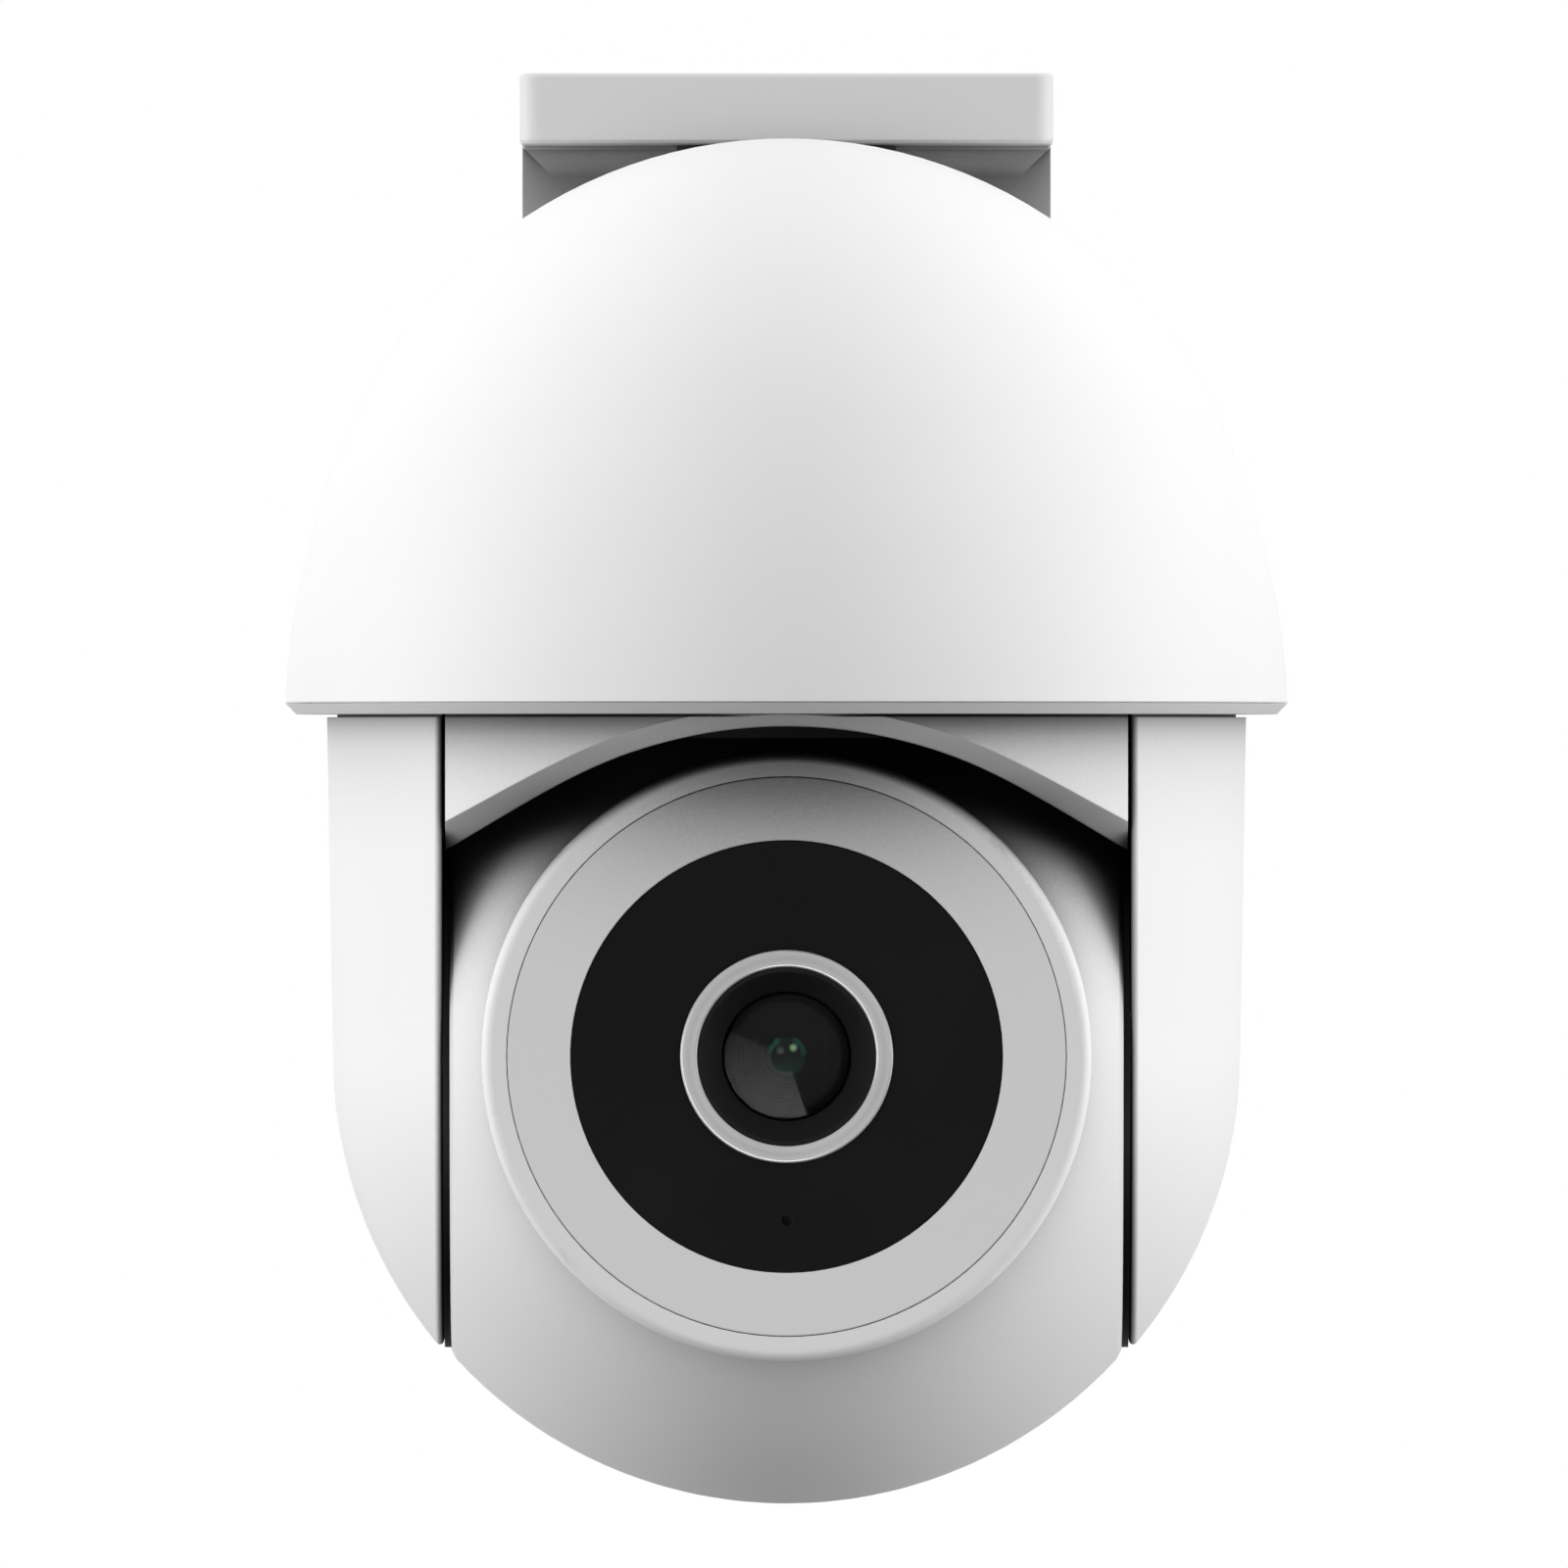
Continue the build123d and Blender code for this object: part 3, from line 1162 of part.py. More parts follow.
# ---------------------------------------------------------------- all nodes
def fixed_nodes():
    """Pieces that stay with the wall."""
    return {
        "bracket": [make_bracket()],
        "channel_cover": [make_channel_cover()],
        "cable_grommet": [make_cable_grommet()],
        "neck_gasket": [make_neck_gasket()],
        "neck_screws": make_neck_screws(),
        "dome_shell": [make_dome_shell()],
        "dome_screws": make_dome_screws(),
        "dome_base": [make_dome_base()],
        "dome_seal": [make_dome_seal()],
        "pan_bush": [make_pan_bush()],
        "thrust_washer": [make_thrust_washer()],
        "pan_motor": [make_pan_motor()],
        "pan_pinion": [make_pan_pinion()],
        "base_screws": make_base_screws(),
        "main_board": [make_main_board()],
        "main_board_parts": make_main_board_parts(),
    }


def yoke_nodes():
    """Pieces that turn about the pan axis."""
    cheek = make_cheek()
    trunnion_in = ball_flat_x - ball_wall - 2.0
    return {
        "yoke_frame": [make_yoke_frame()],
        "right_cheek": [cheek],
        "left_cheek": [mirror(cheek, about=Plane.YZ)],
        "front_brow": [make_front_brow()],
        "rear_panel": [make_rear_panel()],
        "yoke_cover_screws": make_yoke_cover_screws(),
        "pan_shaft": [make_pan_shaft()],
        "pan_gear": [make_pan_gear()],
        "shaft_clip": [make_shaft_clip()],
        "right_trunnion": [make_trunnion(tilt_gear_in_x - 0.5)],
        "left_trunnion": [mirror(make_trunnion(trunnion_in), about=Plane.YZ)],
        "frame_screws": make_frame_screws(),
        "tilt_gear": [make_tilt_gear()],
    }


def head_nodes():
    """Pieces of the head that tilts, and what moves in it."""
    return {
        "ball_front": [make_ball_front()],
        "ball_rear": [make_ball_rear()],
        "ball_seal": [seal_ring(0)],
        "ball_screws": make_ball_screws(),
        "tilt_bushes": both_sides(make_tilt_bush()),
        "tilt_motor": [make_tilt_motor()],
        "tilt_pinion": [make_tilt_pinion()],
        "face_ring": [make_face_ring()],
        "front_window": [make_front_window()],
        "window_gasket": [make_window_gasket()],
        "lens_ring": [make_lens_ring()],
        "lens_cone": [make_lens_cone()],
        "front_lens": [make_front_lens()],
        "inner_lens": [make_inner_lens()],
        "lens_barrel": [make_lens_barrel()],
        "lens_holder": [make_lens_holder()],
        "ir_cut_housing": [make_ir_cut_housing()],
        "ir_cut_filter": [make_ir_cut_slider()],
        "sensor_board": make_sensor_board(),
        "led_board": make_led_board(),
        "light_baffle": [make_light_baffle()],
        "microphone": [make_microphone()],
        "control_board": make_control_board(),
        "speaker": [make_speaker()],
        "service_cover": [make_service_cover()],
        "service_seal": [make_service_seal()],
        "service_board": make_service_board(),
        "reset_button": [make_reset_button()],
        "sd_socket": [make_sd_socket()],
        "sd_card": [make_sd_card()],
        "head_screws": make_head_screws(),
    }


def main():
    os.makedirs("parts", exist_ok=True)
    for nodes in (fixed_nodes(), yoke_nodes(), head_nodes()):
        for node, shapes in nodes.items():
            export(node, shapes)


main()
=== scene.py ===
"""Looks of a wall-mounted pan and tilt security camera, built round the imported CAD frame.

Everything is in metres in the row frame: +Y goes into the wall, the lens looks along -Y, +Z is up.
"""
import math

import bmesh
import bpy
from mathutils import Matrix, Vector


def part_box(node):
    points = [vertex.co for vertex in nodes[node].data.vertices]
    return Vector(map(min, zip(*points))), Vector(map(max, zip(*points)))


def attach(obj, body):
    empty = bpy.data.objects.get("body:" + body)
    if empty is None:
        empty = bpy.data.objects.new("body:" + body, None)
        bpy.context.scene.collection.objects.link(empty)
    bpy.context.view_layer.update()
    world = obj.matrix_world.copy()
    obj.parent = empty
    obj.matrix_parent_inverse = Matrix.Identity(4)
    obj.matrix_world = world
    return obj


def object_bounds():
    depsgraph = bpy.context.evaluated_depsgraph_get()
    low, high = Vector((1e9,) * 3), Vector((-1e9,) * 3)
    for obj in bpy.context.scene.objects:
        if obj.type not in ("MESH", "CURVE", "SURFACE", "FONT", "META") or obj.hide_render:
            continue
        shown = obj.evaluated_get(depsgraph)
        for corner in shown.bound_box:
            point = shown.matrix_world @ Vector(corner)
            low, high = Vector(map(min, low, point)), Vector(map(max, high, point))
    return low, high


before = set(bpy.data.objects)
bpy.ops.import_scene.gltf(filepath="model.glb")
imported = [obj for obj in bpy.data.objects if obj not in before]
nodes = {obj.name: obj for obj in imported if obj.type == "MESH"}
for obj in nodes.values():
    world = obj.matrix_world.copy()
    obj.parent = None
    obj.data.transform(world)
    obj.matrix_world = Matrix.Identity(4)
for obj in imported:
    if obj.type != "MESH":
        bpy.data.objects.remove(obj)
cad_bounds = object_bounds()
MM = 0.001


def middle(node):
    """Centre of a CAD node's box."""
    low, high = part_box(node)
    return (low + high) / 2


# ---------------------------------------------------------------- node graphs

NOISE_SPAN = (0.3, 0.7)    # where most values of a noise lie
EDGE_SPAN = (0.995, 0.85)  # agreement of rounded and flat normals, from no edge to a full edge
BEHIND_FADE = 0.012        # depth over which the painted crevice shade fades in
OVERHANG_REACH = 0.03      # how far an overhang's painted shade reaches
OVERHANG_FULL = 0.005      # distance below an overhang where its painted shade is full


def add(tree, kind, inputs=None, **settings):
    """Adds one shader node. An input given as a socket is linked, anything else is set."""
    node = tree.nodes.new("ShaderNode" + kind)
    for name, value in settings.items():
        setattr(node, name, value)
    for key, value in (inputs or {}).items():
        if isinstance(value, bpy.types.NodeSocket):
            tree.links.new(value, node.inputs[key])
        else:
            node.inputs[key].default_value = value
    return node


def math_node(tree, operation, *values, clamp=False):
    """Result socket of one maths operation."""
    inputs = dict(enumerate(values))
    return add(tree, "Math", inputs, operation=operation, use_clamp=clamp).outputs[0]


def mix_colour(tree, share, first, second, blend="MIX"):
    """Result socket of a colour mix."""
    node = tree.nodes.new("ShaderNodeMix")
    node.data_type = "RGBA"
    node.blend_type = blend
    for socket, value in ((node.inputs[0], share), (node.inputs[6], first), (node.inputs[7], second)):
        if isinstance(value, bpy.types.NodeSocket):
            tree.links.new(value, socket)
        else:
            socket.default_value = value
    return node.outputs[2]


def remap(tree, value, from_low, from_high, to_low, to_high):
    """Value taken from one range to another, held at the ends."""
    inputs = {"Value": value, "From Min": from_low, "From Max": from_high,
              "To Min": to_low, "To Max": to_high}
    return add(tree, "MapRange", inputs).outputs[0]


def ramp(tree, value, stops):
    """Colour ramp with (place, colour) stops."""
    node = add(tree, "ValToRGB", {"Fac": value})
    elements = node.color_ramp.elements
    while len(elements) < len(stops):
        elements.new(0.5)
    for element, (place, colour) in zip(elements, stops):
        element.position = place
        element.color = colour
    return node.outputs[0]


def rgba(colour, factor=1.0):
    return tuple(min(1.0, c * factor) for c in colour) + (1.0,)


def grey(tree, value):
    """Grey colour of a value."""
    return add(tree, "CombineColor", {0: value, 1: value, 2: value}).outputs[0]


def product(tree, first, second):
    """Result socket of one multiplication."""
    return math_node(tree, "MULTIPLY", first, second)


def new_material(name):
    """Empty material with its output node, and object coordinates."""
    material = bpy.data.materials.new(name)
    material.use_nodes = True
    tree = material.node_tree
    tree.nodes.clear()
    output = tree.nodes.new("ShaderNodeOutputMaterial")
    coordinates = add(tree, "TexCoord").outputs["Object"]
    return material, tree, output, coordinates


def noise(tree, coordinates, size, detail=2.0):
    """Noise whose features are about size metres across."""
    inputs = {"Vector": coordinates, "Scale": 1.0 / size, "Detail": detail}
    return add(tree, "TexNoise", inputs).outputs["Fac"]


def flat_offset(tree, coordinates, centre):
    """Offset from a point on the lens axis, seen along that axis."""
    offset = add(tree, "VectorMath", {0: coordinates, 1: tuple(centre)}, operation="SUBTRACT").outputs[0]
    return add(tree, "VectorMath", {0: offset, 1: (1, 0, 1)}, operation="MULTIPLY").outputs[0]


def openness(tree, reach, power):
    """How open a point is to what lies within reach, raised to a power."""
    open_sky = add(tree, "AmbientOcclusion", {"Distance": reach}, samples=8).outputs["AO"]
    return math_node(tree, "POWER", open_sky, power)


def crevice_shade(tree, coordinates, strength, reach, power, behind, overhang):
    """Share of the colour that is left in crevices, where shade is painted into the colour.

    There is no painted shade in front of the depth `behind`, and deeper than it the shade fades in. Under an
    overhang, given as its height and a power, painted shade from a wider reach darkens the colour as well.
    """
    shade = remap(tree, openness(tree, reach, power), 0.0, 1.0, 1 - strength, 1.0)
    place = add(tree, "SeparateXYZ", {0: coordinates}).outputs
    if behind is not None:
        share = remap(tree, place[1], behind, behind + BEHIND_FADE, 0.0, 1.0)
        lost = product(tree, share, math_node(tree, "SUBTRACT", 1.0, shade))
        shade = math_node(tree, "SUBTRACT", 1.0, lost)
    if overhang is not None:
        top, power_at_top = overhang
        low, high = top - OVERHANG_REACH - OVERHANG_FULL, top - OVERHANG_FULL
        under = remap(tree, place[2], low, high, 0.0, power_at_top)
        shade = product(tree, shade, openness(tree, OVERHANG_REACH, under))
    return shade


def concentric_bands(tree, coordinates, centre, low, high):
    """Faint concentric bands of lighter and darker tone between two radii, darkest at both edges."""
    flat = flat_offset(tree, coordinates, centre)
    radius = add(tree, "VectorMath", {0: flat}, operation="LENGTH").outputs["Value"]
    levels = ((0.0, 0.8), (0.22, 1.0), (0.5, 0.86), (0.8, 1.0), (1.0, 0.82))
    stops = [(place, (level, level, level, 1)) for place, level in levels]
    return ramp(tree, remap(tree, radius, low, high, 0.0, 1.0), stops)


def surface(name, colour, roughness, *, metallic=0.0, specular=0.5, mottle=0.02, mottle_size=0.018,
            grain_size=0.00035, grain_bump=0.05, grain_depth=0.00002, rough_spread=0.05,
            edge_radius=0.0003, edge_lift=1.06, crevice=0.0, crevice_reach=0.012, crevice_power=1.0,
            crevice_behind=None, overhang=None, tone_bands=None, brushed=None):
    """Moulded, painted or metal surface: mottled colour, fine grain, edges lightened as rubbed wear and
    painted highlight, and painted shade in crevices.
    """
    material, tree, output, coordinates = new_material(name)
    broad = noise(tree, coordinates, mottle_size, detail=3.0)
    fine_vector = coordinates
    if brushed:
        fine_vector = add(tree, "Mapping", {"Vector": coordinates, "Scale": brushed}).outputs[0]
    fine = noise(tree, fine_vector, grain_size)
    share = remap(tree, broad, *NOISE_SPAN, 0.0, 1.0)
    tint = mix_colour(tree, share, rgba(colour, 1 - mottle), rgba(colour, 1 + mottle))
    speck = remap(tree, fine, 0.35, 0.65, 1 - mottle * 0.6, 1.0)
    tint = mix_colour(tree, 1.0, tint, grey(tree, speck), "MULTIPLY")
    # Edges are lightened in the colour: partly rubbed wear, partly a painted highlight.
    rounded = add(tree, "Bevel", {"Radius": edge_radius}, samples=4).outputs[0]
    flat = add(tree, "NewGeometry").outputs["Normal"]
    facing = add(tree, "VectorMath", {0: rounded, 1: flat}, operation="DOT_PRODUCT").outputs["Value"]
    edge = remap(tree, facing, *EDGE_SPAN, 0.0, 1.0)
    wear_and_highlight = product(tree, edge, remap(tree, broad, 0.35, 0.6, 0.5, 1.0))
    tint = mix_colour(tree, wear_and_highlight, tint, rgba(colour, edge_lift))
    # Painted shade: the colour is darkened in crevices, recesses and under overhangs.
    if crevice:
        shade = crevice_shade(tree, coordinates, crevice, crevice_reach, crevice_power, crevice_behind,
                              overhang)
        tint = mix_colour(tree, 1.0, tint, grey(tree, shade), "MULTIPLY")
    if tone_bands:
        tint = mix_colour(tree, 1.0, tint, concentric_bands(tree, coordinates, *tone_bands), "MULTIPLY")
    rough = remap(tree, broad, *NOISE_SPAN, roughness - rough_spread, roughness + rough_spread)
    rough = math_node(tree, "SUBTRACT", rough, product(tree, wear_and_highlight, rough_spread * 1.5))
    grain = {"Strength": grain_bump, "Distance": grain_depth, "Height": fine, "Normal": rounded}
    shader = add(tree, "BsdfPrincipled", {
        "Base Color": tint, "Roughness": rough, "Metallic": metallic, "Specular IOR Level": specular,
        "Normal": add(tree, "Bump", grain).outputs[0]})
    tree.links.new(shader.outputs[0], output.inputs[0])
    return material


def circuit_board():
    """Solder-masked board with fine tracks, pads and a copper sheen."""
    material, tree, output, coordinates = new_material("circuit_board")
    tracks = add(tree, "TexBrick", {
        "Vector": coordinates, "Scale": 420.0, "Mortar Size": 0.035, "Mortar Smooth": 0.2,
        "Color1": (0.008, 0.075, 0.03, 1), "Color2": (0.01, 0.09, 0.035, 1), "Mortar": (0.03, 0.2, 0.08, 1)})
    cells = {"Vector": coordinates, "Scale": 700.0}
    rim = add(tree, "TexVoronoi", cells, feature="DISTANCE_TO_EDGE").outputs[0]
    spots = {"Vector": coordinates, "Scale": 330.0, "Randomness": 0.5}
    pad = remap(tree, add(tree, "TexVoronoi", spots).outputs["Distance"], 0.17, 0.14, 0.0, 1.0)
    near_rim = remap(tree, rim, 0.0, 0.04, 0.5, 0.0)
    colour = mix_colour(tree, near_rim, tracks.outputs[0], (0.02, 0.16, 0.06, 1))
    colour = mix_colour(tree, pad, colour, (0.75, 0.6, 0.28, 1))
    bump = add(tree, "Bump", {"Strength": 0.25, "Distance": 0.00005, "Height": tracks.outputs[1]})
    shader = add(tree, "BsdfPrincipled", {
        "Base Color": colour, "Roughness": remap(tree, pad, 0.0, 1.0, 0.42, 0.28), "Metallic": pad,
        "Normal": bump.outputs[0]})
    tree.links.new(shader.outputs[0], output.inputs[0])
    return material


def board_parts():
    """Parts on a board: each has a colour of its own, from black chips to plugs and tin cans."""
    material, tree, output, coordinates = new_material("board_parts")
    island = add(tree, "NewGeometry").outputs["Random Per Island"]
    colour = ramp(tree, island, [(0.0, (0.02, 0.02, 0.022, 1)), (0.35, (0.018, 0.018, 0.02, 1)),
                                 (0.55, (0.62, 0.6, 0.55, 1)), (0.8, (0.5, 0.5, 0.52, 1))])
    grain = noise(tree, coordinates, 0.0004)
    colour = mix_colour(tree, remap(tree, grain, *NOISE_SPAN, 0.0, 0.25), colour, (0.1, 0.1, 0.1, 1))
    bump = add(tree, "Bump", {"Strength": 0.2, "Distance": 0.00003, "Height": grain})
    shader = add(tree, "BsdfPrincipled", {
        "Base Color": colour, "Roughness": remap(tree, grain, *NOISE_SPAN, 0.35, 0.55),
        "Normal": bump.outputs[0]})
    tree.links.new(shader.outputs[0], output.inputs[0])
    return material


def clear_glass():
    """Front lens: clear, with a faintly uneven polish."""
    material, tree, output, coordinates = new_material("lens_glass")
    smear = noise(tree, coordinates, 0.004, detail=4.0)
    shader = add(tree, "BsdfPrincipled", {
        "Base Color": (0.97, 1.0, 0.98, 1), "Roughness": remap(tree, smear, 0.4, 0.8, 0.0, 0.02),
        "IOR": 1.18, "Transmission Weight": 1.0})
    tree.links.new(shader.outputs[0], output.inputs[0])
    return material


def painted_inner_lens(name, centre):
    """Inner lens seen down the barrel, all painted into its colour: a dark pupil as painted shade, teal arcs
    above and beside it as painted coating reflections, a dim painted reflection below, and two small painted
    glints.

    Radii, heights and the places of the glints are in mm.
    """
    material, tree, output, coordinates = new_material(name)
    flat = flat_offset(tree, coordinates, centre)
    dark = (0.005, 0.008, 0.008, 1)

    def distance_from(x, z):
        away = add(tree, "VectorMath", {0: flat, 1: (x * MM, 0, z * MM)}, operation="DISTANCE")
        return math_node(tree, "DIVIDE", away.outputs["Value"], MM)

    ripple = noise(tree, coordinates, 0.0009, detail=3.0)
    radius = math_node(tree, "ADD", distance_from(0, 0), remap(tree, ripple, *NOISE_SPAN, -0.25, 0.25))
    arc = ramp(tree, math_node(tree, "DIVIDE", radius, 4.0), [
        (0.36, dark), (0.45, (0.012, 0.075, 0.06, 1)), (0.52, (0.014, 0.085, 0.07, 1)),
        (0.6, (0.003, 0.004, 0.004, 1))])
    # Painted reflection: the teal arcs show only above and beside the pupil.
    place = add(tree, "SeparateXYZ", {0: flat}).outputs
    height = math_node(tree, "DIVIDE", place[2], MM)
    across = math_node(tree, "ABSOLUTE", math_node(tree, "DIVIDE", place[0], MM))
    above = remap(tree, height, -0.2, 0.8, 0.0, 1.0)
    beside = remap(tree, across, 0.5, 1.0, 0.0, 1.0)
    colour = mix_colour(tree, product(tree, above, beside), dark, arc)
    # Painted reflection: a dimmer teal patch below the pupil.
    below = remap(tree, height, 0.0, -1.2, 0.0, 1.0)
    within = remap(tree, radius, 2.6, 1.6, 0.0, 1.0)
    colour = mix_colour(tree, product(tree, below, within), colour, (0.012, 0.03, 0.027, 1))
    # Painted highlights: two small glints.
    green_glint = remap(tree, distance_from(0.75, 0.95), 0.52, 0.12, 0.0, 1.0)
    colour = mix_colour(tree, green_glint, colour, (0.4, 0.62, 0.36, 1))
    grey_glint = remap(tree, distance_from(-0.7, 0.6), 0.55, 0.15, 0.0, 1.0)
    colour = mix_colour(tree, grey_glint, colour, (0.075, 0.085, 0.082, 1))
    shader = add(tree, "BsdfPrincipled", {
        "Base Color": colour, "Roughness": remap(tree, ripple, *NOISE_SPAN, 0.1, 0.2),
        "Specular IOR Level": 0.1})
    tree.links.new(shader.outputs[0], output.inputs[0])
    return material


def woven(name, colour, pitch):
    """Fine cloth or mesh, as over a speaker cone."""
    material, tree, output, coordinates = new_material(name)
    waves = {"Vector": coordinates, "Scale": 0.5 / pitch}
    over = add(tree, "TexWave", waves, bands_direction="X").outputs[1]
    under = add(tree, "TexWave", waves, bands_direction="Z").outputs[1]
    weave = math_node(tree, "MAXIMUM", over, under)
    tint = mix_colour(tree, weave, rgba(colour, 0.35), rgba(colour))
    bump = add(tree, "Bump", {"Strength": 0.6, "Distance": 0.0001, "Height": weave})
    shader = add(tree, "BsdfPrincipled", {
        "Base Color": tint, "Roughness": remap(tree, weave, 0.0, 1.0, 0.9, 0.6), "Normal": bump.outputs[0]})
    tree.links.new(shader.outputs[0], output.inputs[0])
    return material


# ---------------------------------------------------------------- materials

WHITE = (0.83, 0.83, 0.83)
# Looks with a crevice setting paint shade into their colour; edge_lift lightens edges as wear and painted
# highlight.
shell_looks = dict(roughness=0.55, specular=0.35, mottle=0.006, grain_bump=0.06, crevice=0.95,
                   crevice_reach=0.016, crevice_power=1.6, edge_lift=1.1)
# The bracket's painted shade reaches further and lies only behind a depth, darkening the plate under the arm
# and behind the dome.
bracket_looks = {**shell_looks, "crevice_reach": 0.026, "crevice_power": 2.8, "crevice_behind": -0.05}
RING_BORE_SHARE = 0.84     # the silver ring's bore as a share of its outside
lens_centre = middle("inner_lens")
ring_low, ring_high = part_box("lens_ring")
ring_r = (ring_high.x - ring_low.x) / 2
ring_bands = (lens_centre, RING_BORE_SHARE * ring_r, ring_r)

looks = {
    "white_shell": surface("white_shell", WHITE, **shell_looks),
    "white_bracket": surface("white_bracket", (0.71, 0.71, 0.71), **bracket_looks),
    "silver_ring": surface("silver_ring", (0.62, 0.62, 0.625), 0.2, metallic=0.25, specular=0.3, mottle=0.02,
                           grain_size=0.0002, rough_spread=0.03, edge_radius=0.00006, tone_bands=ring_bands),
    # Its crevice setting paints a thin shade round the lens ring.
    "black_window": surface("black_window", (0.007, 0.007, 0.0075), 0.12, specular=0.11, mottle=0.08,
                            grain_bump=0.0, crevice=1.0, crevice_reach=0.0015, crevice_power=2.5,
                            rough_spread=0.03, edge_radius=0.0001, edge_lift=1.5),
    "black_plastic": surface("black_plastic", (0.008, 0.008, 0.0085), 0.5, specular=0.08, mottle=0.1,
                             crevice=1.0, crevice_power=2.0, edge_lift=1.4, edge_radius=0.00015),
    # Its near-black is painted shade: where the frame shows, in gaps and behind the brow's arch, it stands
    # in for shadow.
    "frame_plastic": surface("frame_plastic", (0.008, 0.008, 0.0083), 0.6, specular=0.04, mottle=0.1,
                             crevice=1.0, crevice_reach=0.02, crevice_power=3.0, edge_lift=1.2),
    "rubber": surface("rubber", (0.02, 0.02, 0.021), 0.8, specular=0.2, mottle=0.15, grain_bump=0.2,
                      rough_spread=0.08),
    "acetal": surface("acetal", (0.72, 0.71, 0.67), 0.4, mottle=0.02, edge_lift=1.1),
    "steel": surface("steel", (0.55, 0.55, 0.56), 0.3, metallic=1.0, mottle=0.06, grain_size=0.0003,
                     grain_bump=0.1, rough_spread=0.1, edge_lift=1.3, edge_radius=0.0002),
    "motor_can": surface("motor_can", (0.5, 0.5, 0.51), 0.35, metallic=0.9, mottle=0.05, grain_bump=0.15,
                         rough_spread=0.1, edge_lift=1.3, brushed=(1.0, 1.0, 0.08)),
    "sd_card": surface("sd_card", (0.015, 0.015, 0.018), 0.4, mottle=0.1),
    "reset_grey": surface("reset_grey", (0.18, 0.18, 0.19), 0.55, mottle=0.05),
    "filter_blue": surface("filter_blue", (0.06, 0.14, 0.3), 0.08, specular=0.8, mottle=0.1, grain_bump=0.0,
                           rough_spread=0.03),
    "speaker_black": woven("speaker_black", (0.03, 0.03, 0.032), 0.0004),
    "circuit_board": circuit_board(),
    "board_parts": board_parts(),
    "lens_glass": clear_glass(),
}
for obj in nodes.values():
    for slot in obj.material_slots:
        slot.material = looks[slot.material.name.split(".")[0]]
nodes["inner_lens"].material_slots[0].material = painted_inner_lens("inner_lens_painted", lens_centre)

# Painted shade under the brow's arch: each piece has a share of the shell's white and a power of that shade.
# The face ring's smaller share is painted shade too, darkening its front-facing face.
arch_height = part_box("front_brow")[1].z
for name, factor, power in (("front_brow", 1.0, 2.2), ("ball_front", 1.0, 5.0), ("face_ring", 0.92, 8.5)):
    tint = tuple(factor * value for value in WHITE)
    shaded_white = surface(f"{name}_white", tint, **shell_looks, overhang=(arch_height, power))
    nodes[name].material_slots[0].material = shaded_white

matt_black = dict(roughness=0.6, mottle=0.1, edge_lift=1.1, edge_radius=0.0001)
lens_black = surface("lens_black", (0.004, 0.004, 0.0042), specular=0.02, **matt_black)
cone_black = surface("cone_black", (0.011, 0.011, 0.0113), specular=0.06, **matt_black)
nodes["lens_cone"].material_slots[0].material = cone_black


# ---------------------------------------------------------------- lens detail

def place_mesh(name, made, material):
    """New object in the scene from a bmesh, with one material."""
    mesh = bpy.data.meshes.new(name)
    made.to_mesh(mesh)
    made.free()
    mesh.materials.append(material)
    obj = bpy.data.objects.new(name, mesh)
    bpy.context.scene.collection.objects.link(obj)
    return obj


def lathe(name, outline, centre, material, segments=160):
    """Closed ring turned about the lens axis. The outline is (radius, forward) pairs in mm."""
    made = bmesh.new()
    rings = []
    for step in range(segments):
        angle = 2 * math.pi * step / segments
        ring = [made.verts.new((centre.x + radius * MM * math.cos(angle), centre.y - forward * MM,
                                centre.z + radius * MM * math.sin(angle))) for radius, forward in outline]
        rings.append(ring)
    count = len(outline)
    for step in range(segments):
        here, there = rings[step], rings[(step + 1) % segments]
        for k in range(count):
            after = (k + 1) % count
            made.faces.new((here[k], here[after], there[after], there[k]))
    bmesh.ops.recalc_face_normals(made, faces=made.faces)
    obj = place_mesh(name, made, material)
    for face in obj.data.polygons:
        face.use_smooth = True
    obj.data.set_sharp_from_angle(angle=math.radians(30))
    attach(obj, "head")


def lens_detail():
    """Stepped anti-glare rings between the two lenses, and a thin aperture plate. Lengths are in mm."""
    inner_front = -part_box("inner_lens")[0].y / MM
    front_back = -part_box("front_lens")[1].y / MM
    axis = Vector((lens_centre.x, 0.0, lens_centre.z))
    outside, inside, steps, lean = 6.1, 2.75, 8, 0.08
    inner_gap, front_gap, lip_height = 0.12, 0.2, 0.25
    back = inner_front + inner_gap
    front = front_back - front_gap
    lip = back + lip_height
    outline = [(inside, back), (inside, lip)]
    for step in range(steps):
        share = (step + 1) / steps
        radius = inside + (outside - inside) * share
        outline += [(radius - lean, outline[-1][1]), (radius, lip + (front - lip) * share)]
    outline += [(outside, front - 0.05), (outside, front - 0.3)]
    lathe("anti_glare_rings", outline, axis, lens_black)
    plate_back, plate_front, plate_outside = back + 0.06, back + 0.14, 2.9
    plate = [(2.35, plate_back), (plate_outside, plate_back), (plate_outside, plate_front),
             (2.45, plate_front)]
    lathe("aperture_plate", plate, axis, lens_black)


lens_detail()


# ---------------------------------------------------------------- stage

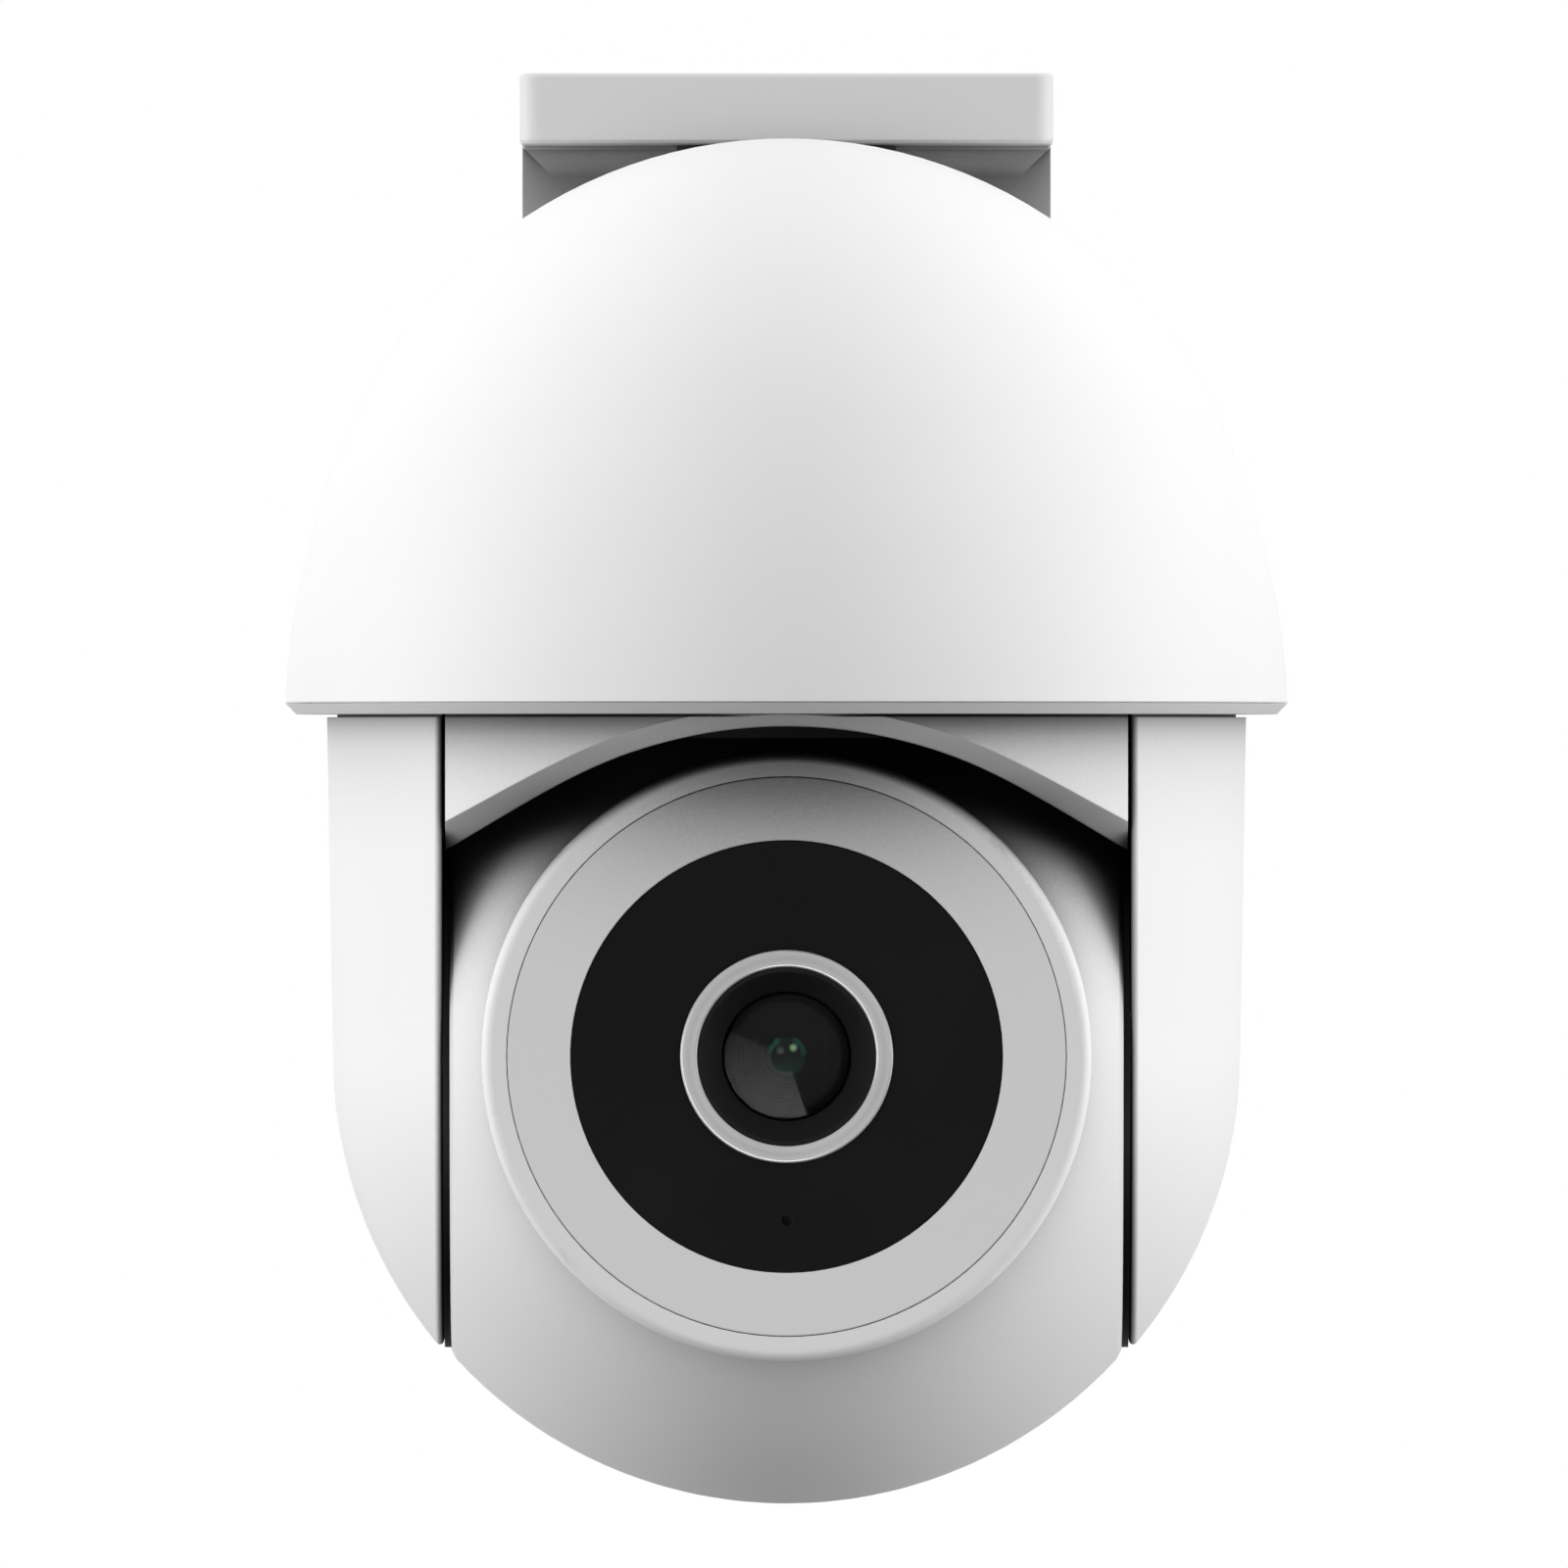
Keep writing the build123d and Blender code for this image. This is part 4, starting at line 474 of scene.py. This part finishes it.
LIGHT_LEVEL = 0.572                 # strength of the light from the sides
LIGHT_RISE = (0.362, 0.14, 0.351)   # added with height, its square and its cube
LAMP_STRENGTH = 12.17
LAMP_TIGHTNESS = 42.8
FLOOR_R = 1.6                       # metres, like all lengths of the stage but the focal length
FLOOR_Y = -0.075                    # below the pan axis
FLOOR_DROP = 0.07                   # gap between the object's lowest point and the floor
CARD_AWAY = 1.0                     # distance of the reflection card in front of the lens
CARD_RADII = (0.2, 0.92)
CARD_START = -19                    # degrees from straight down, towards -X
CARD_SWEEP = 132
CARD_STEPS = 24
CARD_HEIGHTS = (0.3, -0.8)          # heights from the card's middle between which its glow changes
CARD_GLOW = (2.2, 7.5)              # strengths at those heights
VIEW_POINT = (-0.0003, -5.09, -0.0479)
FOCAL_LENGTH = 978.0                # millimetres, on a sensor 36 mm wide


def hide(obj, *rays):
    """Hides an object from kinds of rays."""
    for kind in rays:
        setattr(obj, f"visible_{kind}", False)


def studio_world():
    """Soft studio: even light that grows with height, and two narrow bright lamps at the sides."""
    world = bpy.data.worlds.new("studio")
    bpy.context.scene.world = world
    world.use_nodes = True
    tree = world.node_tree
    tree.nodes.clear()
    output = tree.nodes.new("ShaderNodeOutputWorld")
    direction = add(tree, "TexCoord").outputs["Generated"]
    parts = add(tree, "SeparateXYZ", {0: direction}).outputs
    side = math_node(tree, "POWER", math_node(tree, "ABSOLUTE", parts[0]), LAMP_TIGHTNESS)
    light = math_node(tree, "MULTIPLY_ADD", side, LAMP_STRENGTH, LIGHT_LEVEL)
    height = parts[2]
    square = product(tree, height, height)
    for rise, strength in zip((height, square, product(tree, square, height)), LIGHT_RISE):
        light = math_node(tree, "MULTIPLY_ADD", rise, strength, light)
    light = math_node(tree, "MAXIMUM", light, 0.0)
    lamps = add(tree, "Background", {"Color": (1, 1, 1, 1), "Strength": light})
    plain = add(tree, "Background", {"Color": (1, 1, 1, 1), "Strength": 1.0})
    seen = add(tree, "LightPath").outputs["Is Camera Ray"]
    mixed = add(tree, "MixShader", {0: seen, 1: lamps.outputs[0], 2: plain.outputs[0]})
    tree.links.new(mixed.outputs[0], output.inputs[0])


def studio_floor():
    """Plain pale floor well below the hanging camera, seen through from underneath."""
    material, tree, output, coordinates = new_material("floor")
    cloud = noise(tree, coordinates, 0.4)
    colour = mix_colour(tree, cloud, (0.84, 0.84, 0.84, 1), (0.86, 0.86, 0.86, 1))
    matt = add(tree, "BsdfDiffuse", {"Color": colour})
    clear = add(tree, "BsdfTransparent")
    behind = add(tree, "NewGeometry").outputs["Backfacing"]
    mixed = add(tree, "MixShader", {0: behind, 1: matt.outputs[0], 2: clear.outputs[0]})
    tree.links.new(mixed.outputs[0], output.inputs[0])
    made = bmesh.new()
    bmesh.ops.create_circle(made, cap_ends=True, segments=128, radius=FLOOR_R)
    floor = place_mesh("floor", made, material)
    floor.location = (0, FLOOR_Y, cad_bounds[0].z - FLOOR_DROP)
    hide(floor, "diffuse", "glossy", "transmission", "shadow")


def reflection_card():
    """Bright sector in front of the lens, seen only in glossy reflections."""
    material, tree, output, coordinates = new_material("card")
    height = add(tree, "SeparateXYZ", {0: coordinates}).outputs[2]
    strength = remap(tree, height, *CARD_HEIGHTS, *CARD_GLOW)
    glow = add(tree, "Emission", {"Color": (1, 1, 1, 1), "Strength": strength})
    tree.links.new(glow.outputs[0], output.inputs[0])
    made = bmesh.new()
    rim = []
    for step in range(CARD_STEPS + 1):
        angle = math.radians(CARD_START + CARD_SWEEP * step / CARD_STEPS)
        rim.append((-math.sin(angle), -math.cos(angle)))
    near, far = [[made.verts.new((x * radius, 0, z * radius)) for x, z in rim] for radius in CARD_RADII]
    for k in range(CARD_STEPS):
        made.faces.new((near[k], far[k], far[k + 1], near[k + 1]))
    card = place_mesh("card", made, material)
    card.location = (lens_centre.x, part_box("front_lens")[0].y - CARD_AWAY, lens_centre.z)
    hide(card, "camera", "diffuse", "transmission", "shadow")


def photo_camera():
    """Long, level lens straight in front of the object."""
    data = bpy.data.cameras.new("camera")
    data.sensor_width = 36.0
    data.lens = FOCAL_LENGTH
    data.clip_start = 0.1
    data.clip_end = 60.0
    camera = bpy.data.objects.new("camera", data)
    bpy.context.scene.collection.objects.link(camera)
    camera.location = VIEW_POINT
    camera.rotation_euler = (math.radians(90), 0, 0)
    bpy.context.scene.camera = camera


studio_world()
studio_floor()
reflection_card()
photo_camera()
bpy.context.scene.view_settings.view_transform = "Standard"
bpy.context.scene.view_settings.look = "None"
